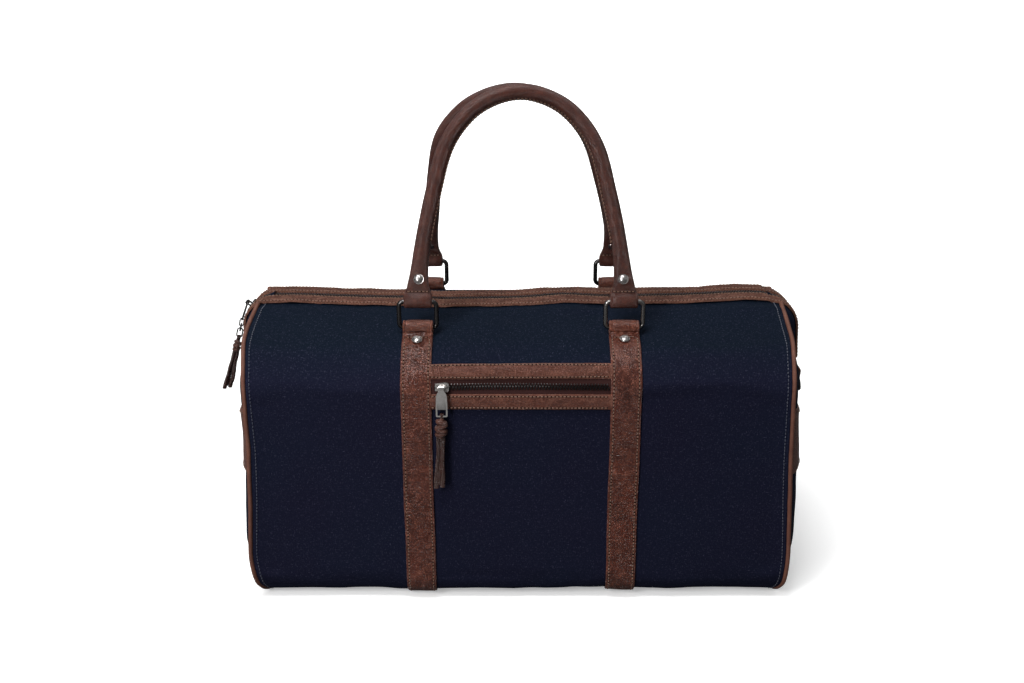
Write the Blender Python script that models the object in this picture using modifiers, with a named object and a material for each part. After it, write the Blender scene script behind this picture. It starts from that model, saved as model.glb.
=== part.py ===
"""Weekender bag: canvas body, leather trim, two rolled handles on rings, zipped mouth
and zipped front pocket.

Metres. X runs along the bag (left is -X), Y from the front face (-Y) to the back face,
Z is up, and the underside of the base is at z = 0.
"""
import math

import bmesh
import bpy
from mathutils import Matrix, Vector

for _o in list(bpy.data.objects):
    bpy.data.objects.remove(_o, do_unlink=True)

# ---------------------------------------------------------------- driving dimensions
GAP = 0.0003            # air between neighbouring pieces
HALF_LEN = 0.250        # seam plane of each end
CLOTH = 0.002           # canvas thickness
PIPE_R = 0.002
PANEL_HALF_LEN = HALF_LEN - PIPE_R - GAP

# side profile, as distance from the midplane and height
SHOULDER_R = 0.050      # round between the top and the faces
SHOULDER_Y, SHOULDER_Z = 0.070, 0.205
SHOULDER_STEPS = 8
TOP_SLOPE = math.radians(15.6)
SHOULDER_TURN = math.pi / 2 - TOP_SLOPE
TOP_EDGE_Y = 0.0228     # where the canvas stops at the leather band
FOOT_R = 0.032          # round between the faces and the base
FOOT_Y, FOOT_Z = 0.088, 0.032

# rings that join the straps to the handles; RING_Z is the lower bar
RING_Y, RING_Z, RING_H, RING_W = 0.076, 0.2605, 0.0245, 0.0345

# mouth zip, which turns down over each end
CORNER_X, CORNER_Z = 0.2425, 0.2445   # centre of the turn
BAND_R = 0.027                        # outer radius of the leather band in the turn
TURN = math.radians(87)

PIN_HOLE_R = 0.0019     # hole for a rivet shank
FRONT_BACK = (("front", -1), ("back", 1))   # tag, sign of Y
LEFT_RIGHT = (("left", -1), ("right", 1))   # tag, sign of X
X_AXIS, Y_AXIS = Vector((1, 0, 0)), Vector((0, 1, 0))


def new_collection(name):
    collection = bpy.data.collections.new(name)
    bpy.context.scene.collection.children.link(collection)
    return collection


bag = new_collection("weekender_bag")
cutters = new_collection("cutters")

# ---------------------------------------------------------------- materials
LOOKS = {
    "canvas": dict(colour=(0.010, 0.013, 0.035), roughness=0.9, metallic=0.0),
    "leather": dict(colour=(0.090, 0.038, 0.022), roughness=0.6, metallic=0.0),
    "dark_leather": dict(colour=(0.045, 0.018, 0.012), roughness=0.5, metallic=0.0),
    "nickel": dict(colour=(0.35, 0.34, 0.33), roughness=0.3, metallic=1.0),
    "gunmetal": dict(colour=(0.08, 0.08, 0.085), roughness=0.35, metallic=1.0),
    "tape": dict(colour=(0.05, 0.03, 0.025), roughness=0.9, metallic=0.0),
    "lining": dict(colour=(0.20, 0.16, 0.12), roughness=0.9, metallic=0.0),
    "board": dict(colour=(0.10, 0.08, 0.06), roughness=0.8, metallic=0.0),
}


def material(name, colour, roughness, metallic):
    mat = bpy.data.materials.new(name)
    mat.use_nodes = True
    inputs = mat.node_tree.nodes["Principled BSDF"].inputs
    inputs["Base Color"].default_value = (*colour, 1)
    inputs["Roughness"].default_value = roughness
    inputs["Metallic"].default_value = metallic
    return mat


# ---------------------------------------------------------------- objects
def put(name, mesh, look):
    """A piece of the bag, with a material of its own."""
    piece = bpy.data.objects.new(name, mesh)
    bag.objects.link(piece)
    mesh.materials.clear()
    mesh.materials.append(material(name + "_mat", **LOOKS[look]))
    return piece


def combine(piece, mesh, operation):
    """Add to, take from or trim a piece with an exact boolean on a hidden helper."""
    tool = bpy.data.objects.new(piece.name + "_tool", mesh)
    cutters.objects.link(tool)
    tool.hide_render = True
    tool.display_type = "WIRE"
    modifier = piece.modifiers.new(operation.lower(), "BOOLEAN")
    modifier.operation = operation
    modifier.solver = "EXACT"
    modifier.object = tool


def scratch(data):
    """A temporary object, to be used up by freeze."""
    temp = bpy.data.objects.new("scratch", data)
    bpy.context.scene.collection.objects.link(temp)
    return temp


def freeze(temp):
    """Turn a temporary object into a plain welded mesh in world space."""
    bpy.context.view_layer.update()
    depsgraph = bpy.context.evaluated_depsgraph_get()
    mesh = bpy.data.meshes.new_from_object(temp.evaluated_get(depsgraph))
    mesh.transform(temp.matrix_world)
    bm = bmesh.new()
    bm.from_mesh(mesh)
    bmesh.ops.remove_doubles(bm, verts=bm.verts, dist=0.000002)
    bmesh.ops.recalc_face_normals(bm, faces=bm.faces)
    bm.to_mesh(mesh)
    bm.free()
    bpy.data.objects.remove(temp, do_unlink=True)
    return mesh


def to_mesh(bm, name):
    mesh = bpy.data.meshes.new(name)
    bm.to_mesh(mesh)
    bm.free()
    return mesh


# ---------------------------------------------------------------- mesh makers
def poly_curve(name, dimensions, points, closed):
    curve = bpy.data.curves.new(name, "CURVE")
    curve.dimensions = dimensions
    spline = curve.splines.new("POLY")
    spline.points.add(len(points) - 1)
    for spline_point, point in zip(spline.points, points):
        spline_point.co = (*point, 1)
    spline.use_cyclic_u = closed
    return curve


PLATE_TURNS = {"yz": (math.pi / 2, 0, math.pi / 2), "xz": (math.pi / 2, 0, 0), "xy": (0, 0, 0)}


def plate(points, low, high, plane):
    """A flat outline in a plane, pulled along the third axis (-Y up to Y for "xz")."""
    curve = poly_curve("outline", "2D", [(a, b, 0) for a, b in points], closed=True)
    curve.fill_mode = "BOTH"
    curve.extrude = (high - low) / 2
    temp = scratch(curve)
    temp.rotation_euler = PLATE_TURNS[plane]
    mid = (high + low) / 2
    temp.location = {"yz": (mid, 0, 0), "xz": (0, mid, 0), "xy": (0, 0, mid)}[plane]
    return freeze(temp)


def wire(points, radius, closed=False, resolution=1):
    curve = poly_curve("wire", "3D", points, closed)
    curve.bevel_depth = radius
    curve.bevel_resolution = resolution
    curve.use_fill_caps = True
    return freeze(scratch(curve))


def block(low, high):
    bm = bmesh.new()
    bmesh.ops.create_cube(bm, size=1)
    size = [h - l for l, h in zip(low, high)]
    mid = [(h + l) / 2 for l, h in zip(low, high)]
    place = Matrix.Translation(mid) @ Matrix.Diagonal((*size, 1))
    bmesh.ops.transform(bm, matrix=place, verts=bm.verts)
    return to_mesh(bm, "block")


def rod(start, end, radius, sides):
    axis = end - start
    bm = bmesh.new()
    bmesh.ops.create_cone(bm, cap_ends=True, segments=sides, radius1=radius, radius2=radius,
                          depth=axis.length)
    turn = Vector((0, 0, 1)).rotation_difference(axis.normalized()).to_matrix().to_4x4()
    place = Matrix.Translation((start + end) / 2) @ turn
    bmesh.ops.transform(bm, matrix=place, verts=bm.verts)
    return to_mesh(bm, "rod")


def bar(centre, reach, radius, sides):
    """A rod running the vector reach to either side of its centre."""
    centre, reach = Vector(centre), Vector(reach)
    return rod(centre - reach, centre + reach, radius, sides)


def thick(mesh, amount, offset):
    temp = scratch(mesh)
    modifier = temp.modifiers.new("thick", "SOLIDIFY")
    modifier.thickness = amount
    modifier.offset = offset
    return freeze(temp)


def mirrored(mesh, axis):
    """A copy on the other side of the X or Y midplane, still facing out."""
    new = mesh.copy()
    new.transform(Matrix.Diagonal((-1, 1, 1, 1) if axis == "x" else (1, -1, 1, 1)))
    new.flip_normals()
    return new


def on_side(mesh, sign, axis):
    """The mesh itself on the positive side of the axis, a mirrored copy on the negative."""
    return mesh if sign > 0 else mirrored(mesh, axis)


def moved(mesh, matrix):
    mesh.transform(matrix)
    return mesh


def frame_at(origin, across, up):
    """Frame with local X along across, Y along up and Z square to both."""
    axes = Matrix((across, up, across.cross(up))).transposed().to_4x4()
    return Matrix.Translation(origin) @ axes


# profile of a rivet cap: radius, height
RIVET_CAP = [(0.0, 0.0017), (0.0022, 0.0015), (0.0036, 0.0009), (0.0045, 0.0002), (0.0045, -0.0001)]
SHANK_R = 0.0016
SHANK_TOP = 0.0003
RIVET_STEPS = 14


def rivet(name, centre, axis, cap_lift, grip, tail_radius, tail_thickness):
    """A turned rivet: cap on the surface at centre, shank through the grip, flat tail."""
    tail_top = -grip - 0.0005
    tail_low = tail_top - tail_thickness
    profile = [(radius, height + cap_lift) for radius, height in RIVET_CAP]
    profile += [(SHANK_R, SHANK_TOP), (SHANK_R, tail_top), (tail_radius, tail_top),
                (tail_radius, tail_low), (0.0, tail_low)]
    bm = bmesh.new()
    verts = [bm.verts.new((radius, 0, height)) for radius, height in profile]
    for pair in zip(verts, verts[1:]):
        bm.edges.new(pair)
    piece = put(name, to_mesh(bm, name), "nickel")
    spin = piece.modifiers.new("spin", "SCREW")
    spin.steps = spin.render_steps = RIVET_STEPS
    spin.use_merge_vertices = True
    spin.merge_threshold = 0.00001
    piece.rotation_mode = "QUATERNION"
    piece.rotation_quaternion = Vector((0, 0, 1)).rotation_difference(axis.normalized())
    piece.location = centre


# ---------------------------------------------------------------- side profile
# Every point is (distance from the midplane, height); inset is the depth below the
# outer canvas surface, negative for proud of it.
def face(length, inset):
    """Point at a surface length above the shoulder line, or below it on the flat face."""
    if length < 0:
        return SHOULDER_Y + SHOULDER_R - inset, SHOULDER_Z + length
    angle, radius = length / SHOULDER_R, SHOULDER_R - inset
    return SHOULDER_Y + radius * math.cos(angle), SHOULDER_Z + radius * math.sin(angle)


def top_height(y, inset):
    radius = SHOULDER_R - inset
    start_y = SHOULDER_Y + radius * math.cos(SHOULDER_TURN)
    start_z = SHOULDER_Z + radius * math.sin(SHOULDER_TURN)
    return start_z + (start_y - y) * math.tan(TOP_SLOPE)


def foot(angle, inset):
    radius = FOOT_R - inset
    return FOOT_Y + radius * math.cos(angle), FOOT_Z - radius * math.sin(angle)


def half_outline(inset, top_y, foot_turn=math.pi / 2, foot_steps=5):
    """From the top edge, over the shoulder and down the face, to the end of the foot."""
    points = [(top_y, top_height(top_y, inset))]
    points += [face(SHOULDER_R * SHOULDER_TURN * (1 - k / SHOULDER_STEPS), inset)
               for k in range(SHOULDER_STEPS + 1)]
    return points + [foot(foot_turn * k / foot_steps, inset) for k in range(foot_steps + 1)]


def end_outline(inset, top_y=0.0):
    """Both halves, round the base; closed at the ridge when top_y is zero."""
    half = half_outline(inset, top_y)
    other = [(-y, z) for y, z in reversed(half)]
    return half + (other[:-1] if top_y == 0.0 else other)


# ---------------------------------------------------------------- canvas body and lining
BOARD_HALF_LEN, BOARD_HALF_DEPTH, BOARD_T = 0.235, 0.080, 0.0025
LINING_INSET, LINING_HALF_LEN, LINING_T = 0.0108, 0.2445, 0.001
MOUTH_LOW, MOUTH_HIGH = (-0.236, -0.0135, 0.230), (0.236, 0.0135, 0.290)


def build_panels():
    """Front and back panels, returned by tag."""
    outline = half_outline(0.0, TOP_EDGE_Y) + half_outline(CLOTH, TOP_EDGE_Y)[::-1]
    mesh = plate(outline, -PANEL_HALF_LEN, PANEL_HALF_LEN, "yz")
    return {tag: put(tag + "_panel", on_side(mesh, sign, "y"), "canvas")
            for tag, sign in FRONT_BACK}


def build_base():
    half_depth = FOOT_Y - GAP
    put("base_panel", block((-PANEL_HALF_LEN, -half_depth, 0),
                            (PANEL_HALF_LEN, half_depth, CLOTH)), "canvas")
    board_z = CLOTH + GAP
    put("base_board", block((-BOARD_HALF_LEN, -BOARD_HALF_DEPTH, board_z),
                            (BOARD_HALF_LEN, BOARD_HALF_DEPTH, board_z + BOARD_T)), "board")


def build_lining():
    """A thin bag inside the panels, open along the zip."""
    def shape(depth):
        half_len = LINING_HALF_LEN - depth
        return plate(end_outline(LINING_INSET + depth), -half_len, half_len, "yz")
    lining = put("lining", shape(0.0), "lining")
    combine(lining, shape(LINING_T), "DIFFERENCE")
    combine(lining, block(MOUTH_LOW, MOUTH_HIGH), "DIFFERENCE")


# ---------------------------------------------------------------- ends
# rings of the dished end: inset from the outline, bulge past the seam plane
END_RINGS = [(0.0045, 0.0), (0.011, 0.0060), (0.021, 0.0115), (0.031, 0.0145)]
# rings inside those: scale of the last ring about END_MID_Z, bulge
END_CROWN = [(0.66, 0.0178), (0.33, 0.0195)]
END_MID_Z = 0.118
NOTCH_LOW, NOTCH_HIGH = (0.20, -0.0230, 0.2505), (0.30, 0.0230, 0.30)   # room for the zip
PATCH_LIFT, PATCH_T = 0.0004, 0.0014
# leather patch on each end: y, z
PATCH = [(-0.0135, 0.2060), (0.0135, 0.2060), (0.0220, 0.1850), (0.0450, 0.1760),
         (0.1085, 0.1930), (0.1085, 0.1310), (-0.1085, 0.1310), (-0.1085, 0.1930),
         (-0.0450, 0.1760), (-0.0220, 0.1850)]
PIPE_INSET = 0.0021 + GAP
PIPE_TOP_Y = 0.0262


def end_shell(lift=0.0):
    """Dished end skin facing +X, each ring nearer the middle standing further out."""
    bm = bmesh.new()
    rings = []
    for inset, bulge in END_RINGS:
        rings.append([bm.verts.new((HALF_LEN + bulge + lift, y, z))
                      for y, z in end_outline(inset)])
    last = [(vert.co.y, vert.co.z) for vert in rings[-1]]
    for scale, bulge in END_CROWN:
        rings.append([bm.verts.new((HALF_LEN + bulge + lift, y * scale,
                                    END_MID_Z + (z - END_MID_Z) * scale)) for y, z in last])
    join_rings(bm, rings)
    bm.faces.new(rings[-1])
    bmesh.ops.recalc_face_normals(bm, faces=bm.faces)
    # an open skin may come out facing either way
    if sum(f.normal.x for f in bm.faces) < 0:
        bmesh.ops.reverse_faces(bm, faces=bm.faces)
    bmesh.ops.triangulate(bm, faces=bm.faces)
    return to_mesh(bm, "end")


def join_rings(bm, rings):
    """Quads between each ring of vertices and the next."""
    count = len(rings[0])
    for ring, following in zip(rings, rings[1:]):
        for k in range(count):
            j = (k + 1) % count
            bm.faces.new((ring[k], ring[j], following[j], following[k]))


def build_ends():
    skin = thick(end_shell(), CLOTH, -1)
    notch = block(NOTCH_LOW, NOTCH_HIGH)
    slab = thick(end_shell(PATCH_LIFT), PATCH_T, 1)
    prism = plate(PATCH, 0.20, 0.30, "yz")
    for tag, sign in LEFT_RIGHT:
        panel = put("end_panel_" + tag, on_side(skin, sign, "x"), "canvas")
        combine(panel, on_side(notch, sign, "x"), "DIFFERENCE")
        patch = put("end_patch_" + tag, on_side(slab, sign, "x"), "leather")
        combine(patch, on_side(prism, sign, "x"), "INTERSECT")


def build_piping():
    """A cord in each end seam, from one leather band round the base to the other."""
    for tag, sign in LEFT_RIGHT:
        points = [(sign * HALF_LEN, y, z) for y, z in end_outline(PIPE_INSET, PIPE_TOP_Y)]
        put("piping_" + tag, wire(points, PIPE_R), "leather")


# ---------------------------------------------------------------- mouth zip
TURN_STEPS = 8
# strips on each side of the mouth: name, look, inner and outer radius in the turn,
# straight run down each end, nearest and furthest distance from the midplane
MOUTH_STRIPS = [
    ("zip_band_", "leather", BAND_R - 0.0016, BAND_R, 0.033, 0.0065, 0.0225),
    ("zip_tape_", "tape", BAND_R - 0.0030, BAND_R - 0.0019, 0.019, 0.0036, 0.0200),
    ("zip_teeth_", "gunmetal", BAND_R - 0.0036, BAND_R - 0.0006, 0.019, 0.0009, 0.0033),
]


def over_ends(radius, drop):
    """XZ line along the mouth at a radius, from the tail on the right end to the left."""
    def turn_point(angle):
        return CORNER_X + radius * math.sin(angle), CORNER_Z + radius * math.cos(angle)
    tail = Vector(turn_point(TURN)) + Vector((math.cos(TURN), -math.sin(TURN))) * drop
    points = [tuple(tail)]
    points += [turn_point(TURN * (1 - k / TURN_STEPS)) for k in range(TURN_STEPS + 1)]
    return points + [(-x, z) for x, z in reversed(points)]


def build_mouth():
    for tag, sign in FRONT_BACK:
        for name, look, inner, outer, drop, near, far in MOUTH_STRIPS:
            outline = over_ends(outer, drop) + over_ends(inner, drop)[::-1]
            low, high = sorted((sign * near, sign * far))
            put(name + tag, plate(outline, low, high, "xz"), look)


# ---------------------------------------------------------------- sliders, pulls and tassels
ROUND_STEPS = 6         # segments in each half-round end
STAPLE_R = 0.0008
BARREL_R = 0.0020       # eye at the top of a pull tab
BARREL_HOLE_R = 0.0012
BORE_REACH = 0.006      # half length of the tool that bores an eye


def round_bottom(half, bottom):
    return [(-half * math.cos(math.pi * k / ROUND_STEPS),
             bottom + half - half * math.sin(math.pi * k / ROUND_STEPS))
            for k in range(ROUND_STEPS + 1)]


def capsule(half, top, bottom):
    """Outline with straight sides and a half round at each end."""
    upper = [(half * math.cos(math.pi * k / ROUND_STEPS),
              top - half + half * math.sin(math.pi * k / ROUND_STEPS))
             for k in range(ROUND_STEPS + 1)]
    return upper + round_bottom(half, bottom)


def tab_outline(neck, shoulder, half, length):
    """Tab hanging from y = 0; neck and shoulder are corners on its right-hand side."""
    right = [shoulder, neck, (neck[0], 0)]
    left = [(-x, y) for x, y in reversed(right)]
    return left + round_bottom(half, -length) + right


def build_slider(name, look, blocks, staple, frame):
    """Blocks, each (x low, x high), half width, (z low, z high), and a staple for the pull."""
    meshes = [block((x0, -half, z0), (x1, half, z1)) for (x0, x1), half, (z0, z1) in blocks]
    meshes.append(wire(staple, STAPLE_R))
    slider = put(name, moved(meshes[0], frame), look)
    for mesh in meshes[1:]:
        combine(slider, moved(mesh, frame), "UNION")


def build_pull(name, outline, half_thick, barrel_half, windows, window_reach, pivot, down, across):
    """A tab on a barrel round the staple, with windows cut through it."""
    frame = frame_at(pivot, across, -down)
    tab = put(name, moved(plate(outline, -half_thick, half_thick, "xy"), frame), "nickel")
    combine(tab, bar(pivot, across * barrel_half, BARREL_R, 14), "UNION")
    combine(tab, bar(pivot, across * BORE_REACH, BARREL_HOLE_R, 12), "DIFFERENCE")
    for window in windows:
        cutter = plate(window, -window_reach, window_reach, "xy")
        combine(tab, moved(cutter, frame), "DIFFERENCE")


# Main slider: drawn along +X with the chain radius up +Z, then swung into the left turn.
SLIDER_TURN = math.radians(56)
SLIDER_FRAME = (Matrix.Translation((-CORNER_X, 0, CORNER_Z))
                @ Matrix.Rotation(-SLIDER_TURN, 4, "Y"))
ZIP_SLIDER = [
    ((-0.0055, 0.0055), 0.0054, (BAND_R + 0.0002, BAND_R + 0.0014)),    # outer plate
    ((-0.0055, 0.0055), 0.0054, (BAND_R - 0.0060, BAND_R - 0.0047)),    # inner plate
    ((0.0015, 0.0053), 0.00055, (BAND_R - 0.0054, BAND_R + 0.0008)),    # web
]
PULL_R = BAND_R + 0.0055
STAPLE_FOOT = BAND_R + 0.0006
ZIP_STAPLE = [(0, -0.0042, STAPLE_FOOT), (0, -0.0042, PULL_R - 0.0008), (0, -0.0034, PULL_R),
              (0, 0.0034, PULL_R), (0, 0.0042, PULL_R - 0.0008), (0, 0.0042, STAPLE_FOOT)]

TAB_LEN = 0.0205
TAB_WINDOW = capsule(0.0016, -TAB_LEN + 0.0052, -TAB_LEN + 0.0011)
TAB_DIR = Vector((-0.349, 0, -0.937)).normalized()
LINK_LEN, LINK_HALF_W, LINK_WIRE_R = 0.0185, 0.0021, 0.0006
LINK_DIR = Vector((-0.248, 0, -0.969)).normalized()
ZIP_TASSEL_DIR = Vector((-0.273, 0, -0.962)).normalized()
# flat outline of the tassel, hanging from y = 0: x across, y up
ZIP_TASSEL = [
    (-0.0026, 0.0022), (0.0026, 0.0022), (0.0028, -0.0030), (0.0050, -0.0060),
    (0.0052, -0.0125), (0.0030, -0.0155), (0.0036, -0.0610), (0.0006, -0.0620),
    (0.0004, -0.0240), (-0.0004, -0.0240), (-0.0008, -0.0600), (-0.0038, -0.0590),
    (-0.0030, -0.0155), (-0.0052, -0.0125), (-0.0050, -0.0060), (-0.0028, -0.0030)]


def build_zip_pull():
    """Main slider, its tab, the link through the tab's window, and the tassel."""
    build_slider("zip_slider", "gunmetal", ZIP_SLIDER, ZIP_STAPLE, SLIDER_FRAME)
    pivot = SLIDER_FRAME @ Vector((0, 0, PULL_R))
    outline = tab_outline(neck=(0.0024, -0.003), shoulder=(0.0034, -0.006),
                          half=0.0034, length=TAB_LEN)
    build_pull("zip_pull", outline, half_thick=0.0006, barrel_half=0.0025,
               windows=[TAB_WINDOW], window_reach=0.004,
               pivot=pivot, down=TAB_DIR, across=Y_AXIS)

    # the link's loop stands square to the flat of the tab
    link_top = pivot + TAB_DIR * (TAB_LEN - 0.00055)
    link_width = LINK_DIR.cross(Y_AXIS)
    points = [tuple(link_top + link_width * x + -LINK_DIR * y)
              for x, y in capsule(LINK_HALF_W, LINK_HALF_W, -LINK_LEN)]
    put("zip_pull_link", wire(points, LINK_WIRE_R, closed=True), "gunmetal")

    frame = frame_at(link_top + LINK_DIR * LINK_LEN, Y_AXIS, -ZIP_TASSEL_DIR)
    mesh = plate(ZIP_TASSEL, -0.0011, 0.0011, "xy")
    tassel = put("zip_tassel", moved(mesh, frame), "dark_leather")
    hole = bar((0, 0, 0), (0, 0, 0.005), 0.0013, 12)
    combine(tassel, moved(hole, frame), "DIFFERENCE")


# ---------------------------------------------------------------- straps and rings
STRAP_X, STRAP_W, STRAP_T = 0.095, 0.028, 0.0016
STRAP_FOOT_TURN = math.radians(58)      # how far the strap turns under at the foot
STRAP_LOOP_R = 0.0046
LOOP_HOLE_R = 0.0024                    # strap and handle loops round the ring bars
STRAP_RIVET_ANGLE = math.radians(68)    # above the horizontal, about the shoulder centre
RING_CORNER_R, RING_CORNER_STEPS, RING_WIRE_R = 0.0032, 4, 0.002


def build_strap(name, x, sign):
    """Strip over the shoulder and down the face, with a loop round the ring bar."""
    outline = []
    for inset, order in ((-GAP - STRAP_T, 1), (-GAP, -1)):
        outline += half_outline(inset, RING_Y, STRAP_FOOT_TURN, foot_steps=4)[::order]
    mesh = plate(outline, x - STRAP_W / 2, x + STRAP_W / 2, "yz")
    strap = put(name, on_side(mesh, sign, "y"), "leather")
    centre = (x, RING_Y * sign, RING_Z)
    combine(strap, bar(centre, (STRAP_W / 2 - 0.0005, 0, 0), STRAP_LOOP_R, 16), "UNION")
    combine(strap, bar(centre, (STRAP_W / 2 + 0.01, 0, 0), LOOP_HOLE_R, 16), "DIFFERENCE")
    return strap


def build_strap_rivet(name, x, sign, strap, panel):
    """A rivet through strap and canvas, with its hole in each."""
    out = Vector((0, sign * math.cos(STRAP_RIVET_ANGLE), math.sin(STRAP_RIVET_ANGLE)))
    shoulder = Vector((x, sign * SHOULDER_Y, SHOULDER_Z))
    centre = shoulder + out * (SHOULDER_R + GAP + STRAP_T)
    for piece in (strap, panel):
        hole = rod(centre - out * 0.008, centre + out * 0.004, PIN_HOLE_R, 12)
        combine(piece, hole, "DIFFERENCE")
    rivet(name, centre, out, cap_lift=0.0004, grip=STRAP_T + GAP + CLOTH,
          tail_radius=0.0040, tail_thickness=0.0008)


def build_ring(name, x, y):
    """Rounded rectangular ring, its lower bar through the strap loop."""
    side = RING_W / 2 - RING_CORNER_R
    low, high = RING_CORNER_R, RING_H - RING_CORNER_R
    points = []
    for corner, (dx, dz) in enumerate(((side, high), (-side, high), (-side, low), (side, low))):
        for k in range(RING_CORNER_STEPS + 1):
            angle = math.pi / 2 * (corner + k / RING_CORNER_STEPS)
            points.append((x + dx + RING_CORNER_R * math.cos(angle), y,
                           RING_Z + dz + RING_CORNER_R * math.sin(angle)))
    put(name, wire(points, RING_WIRE_R, closed=True, resolution=2), "gunmetal")


def build_straps(panels):
    for face_tag, y_sign in FRONT_BACK:
        for end_tag, x_sign in LEFT_RIGHT:
            tag = f"{face_tag}_{end_tag}"
            x = x_sign * STRAP_X
            strap = build_strap("strap_" + tag, x, y_sign)
            build_strap_rivet("strap_rivet_" + tag, x, y_sign, strap, panels[face_tag])
            build_ring("ring_" + tag, x, RING_Y * y_sign)


# ---------------------------------------------------------------- handles
HANDLE_R = 0.00725
HANDLE_LEAN = math.atan2(0.068, 0.191)  # towards the midplane
HANDLE_SIDES = 12
SMOOTH_STEPS = 3                        # path points per arch station
HANDLE_FOOT_X = 0.0945
HANDLE_RIVET_X, HANDLE_RIVET_H = 0.0935, 0.0205
# right half of the arch: x, height over the ring's upper bar
ARCH = [(HANDLE_FOOT_X, 0.0), (0.0940, 0.020), (0.0900, 0.055), (0.0810, 0.100),
        (0.0695, 0.143), (0.0500, 0.172), (0.0265, 0.188), (0.0, 0.1940)]
# handle section: height, half width, half thickness
SECTIONS = [(0.0, 0.0130, 0.0042), (0.006, 0.0130, 0.0036), (0.0135, 0.0106, 0.0036),
            (0.0205, 0.0094, 0.0037), (0.026, 0.0087, 0.0039), (0.040, 0.0077, 0.0066),
            (0.052, HANDLE_R, HANDLE_R)]


def smooth(points):
    """Catmull-Rom through the points."""
    points = [points[0] * 2 - points[1]] + points + [points[-1] * 2 - points[-2]]
    out = []
    for k in range(1, len(points) - 2):
        p0, p1, p2, p3 = points[k - 1:k + 3]
        for i in range(SMOOTH_STEPS):
            t = i / SMOOTH_STEPS
            out.append(0.5 * ((2 * p1) + (p2 - p0) * t + (2 * p0 - 5 * p1 + 4 * p2 - p3) * t * t
                              + (3 * p1 - p0 - 3 * p2 + p3) * t ** 3))
    out.append(points[-2])
    return out


def arch_path(is_back):
    """Centre line of a handle; the back one leans to the left and is a little rounder."""
    points = [Vector(p) for p in ARCH] + [Vector((-x, h)) for x, h in reversed(ARCH[:-1])]
    if is_back:
        for p in points:
            blend = min(1.0, max(0.0, (p.y - 0.040) / 0.110))
            blend = blend * blend * (3 - 2 * blend)
            p.x = p.x * (1 + 0.035 * blend) - 0.0055 * blend
            p.y *= 1 - 0.008 * blend
    return smooth(points)


def section(height):
    """Half width and half thickness of the handle at a height over the ring bar."""
    for (h0, width0, thick0), (h1, width1, thick1) in zip(SECTIONS, SECTIONS[1:]):
        if height <= h1:
            t = max(0.0, (height - h0) / (h1 - h0))
            return width0 + (width1 - width0) * t, thick0 + (thick1 - thick0) * t
    return HANDLE_R, HANDLE_R


def handle_mesh(path):
    """Solid sweep in the XZ plane with the ring bar at z = 0, flat tabs at both ends."""
    bm = bmesh.new()
    rings = []
    count = len(path)
    for k, p in enumerate(path):
        along = (path[min(k + 1, count - 1)] - path[max(k - 1, 0)]).normalized()
        if p.y < 0.012:     # the tabs stand square on the ring bar
            along = Vector((0, 1)) if k < count / 2 else Vector((0, -1))
        across = Vector((along.y, -along.x))
        half_w, half_t = section(p.y)
        # superellipse power: round where thick, squarer where flat
        power = 2.0 if half_t > 0.006 else 2.0 + (0.006 - half_t) / 0.0026 * 2.5
        ring = []
        for i in range(HANDLE_SIDES):
            angle = 2 * math.pi * (i + 0.5) / HANDLE_SIDES
            c, s = (math.copysign(abs(v) ** (2 / power), v)
                    for v in (math.cos(angle), math.sin(angle)))
            ring.append(bm.verts.new((p.x + across.x * half_w * c, half_t * s,
                                      p.y + across.y * half_w * c)))
        rings.append(ring)
    join_rings(bm, rings)
    bm.faces.new(rings[0])
    bm.faces.new(rings[-1])
    bmesh.ops.recalc_face_normals(bm, faces=bm.faces)
    for f in bm.faces:
        f.smooth = True
    return to_mesh(bm, "handle")


def build_handle(tag, sign):
    place = (Matrix.Translation((0, RING_Y * sign, RING_Z + RING_H))
             @ Matrix.Rotation(HANDLE_LEAN * sign, 4, "X"))
    mesh = moved(handle_mesh(arch_path(sign > 0)), place)
    handle = put("handle_" + tag, mesh, "dark_leather")
    out = place.to_3x3() @ Vector((0, sign, 0))
    half_t = section(HANDLE_RIVET_H)[1]
    for end_tag, x_sign in LEFT_RIGHT:
        loop = (x_sign * HANDLE_FOOT_X, 0, 0)
        pin = Vector((x_sign * HANDLE_RIVET_X, 0, HANDLE_RIVET_H))
        for tool, operation in (
                (bar(loop, (0.0129, 0, 0), 0.0044, 16), "UNION"),
                (bar(loop, (0.02, 0, 0), LOOP_HOLE_R, 16), "DIFFERENCE"),
                (bar(pin, (0, 0.01, 0), PIN_HOLE_R, 12), "DIFFERENCE")):
            combine(handle, moved(tool, place), operation)
        rivet(f"handle_rivet_{tag}_{end_tag}", place @ pin + out * half_t, out,
              cap_lift=0.0005, grip=2 * half_t, tail_radius=0.0036, tail_thickness=0.0007)


# ---------------------------------------------------------------- D-rings on the ends
CHAPE_X, CHAPE_Z = 0.2755, 0.1935       # axis of the ring bar
CHAPE_HALF_W, CHAPE_HOLE_R = 0.0105, 0.0023
# leather loop standing on the patch: x, z
CHAPE = [(0.2722, 0.1700), (0.2736, 0.1700), (CHAPE_X + 0.0036, CHAPE_Z - 0.0010),
         (CHAPE_X + 0.0030, CHAPE_Z + 0.0026), (CHAPE_X, CHAPE_Z + 0.0042),
         (CHAPE_X - 0.0030, CHAPE_Z + 0.0026), (CHAPE_X - 0.0036, CHAPE_Z - 0.0010)]
DRING_HALF_W, DRING_STRAIGHT, DRING_BOW, DRING_STEPS, DRING_WIRE_R = 0.0135, 0.0050, 0.0165, 10, 0.0016
# the left ring stands up and the right one hangs: z sign, how far the bow stands outward
DRING_POSES = {"left": (1, -0.0008), "right": (-1, 0.0045)}


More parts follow.
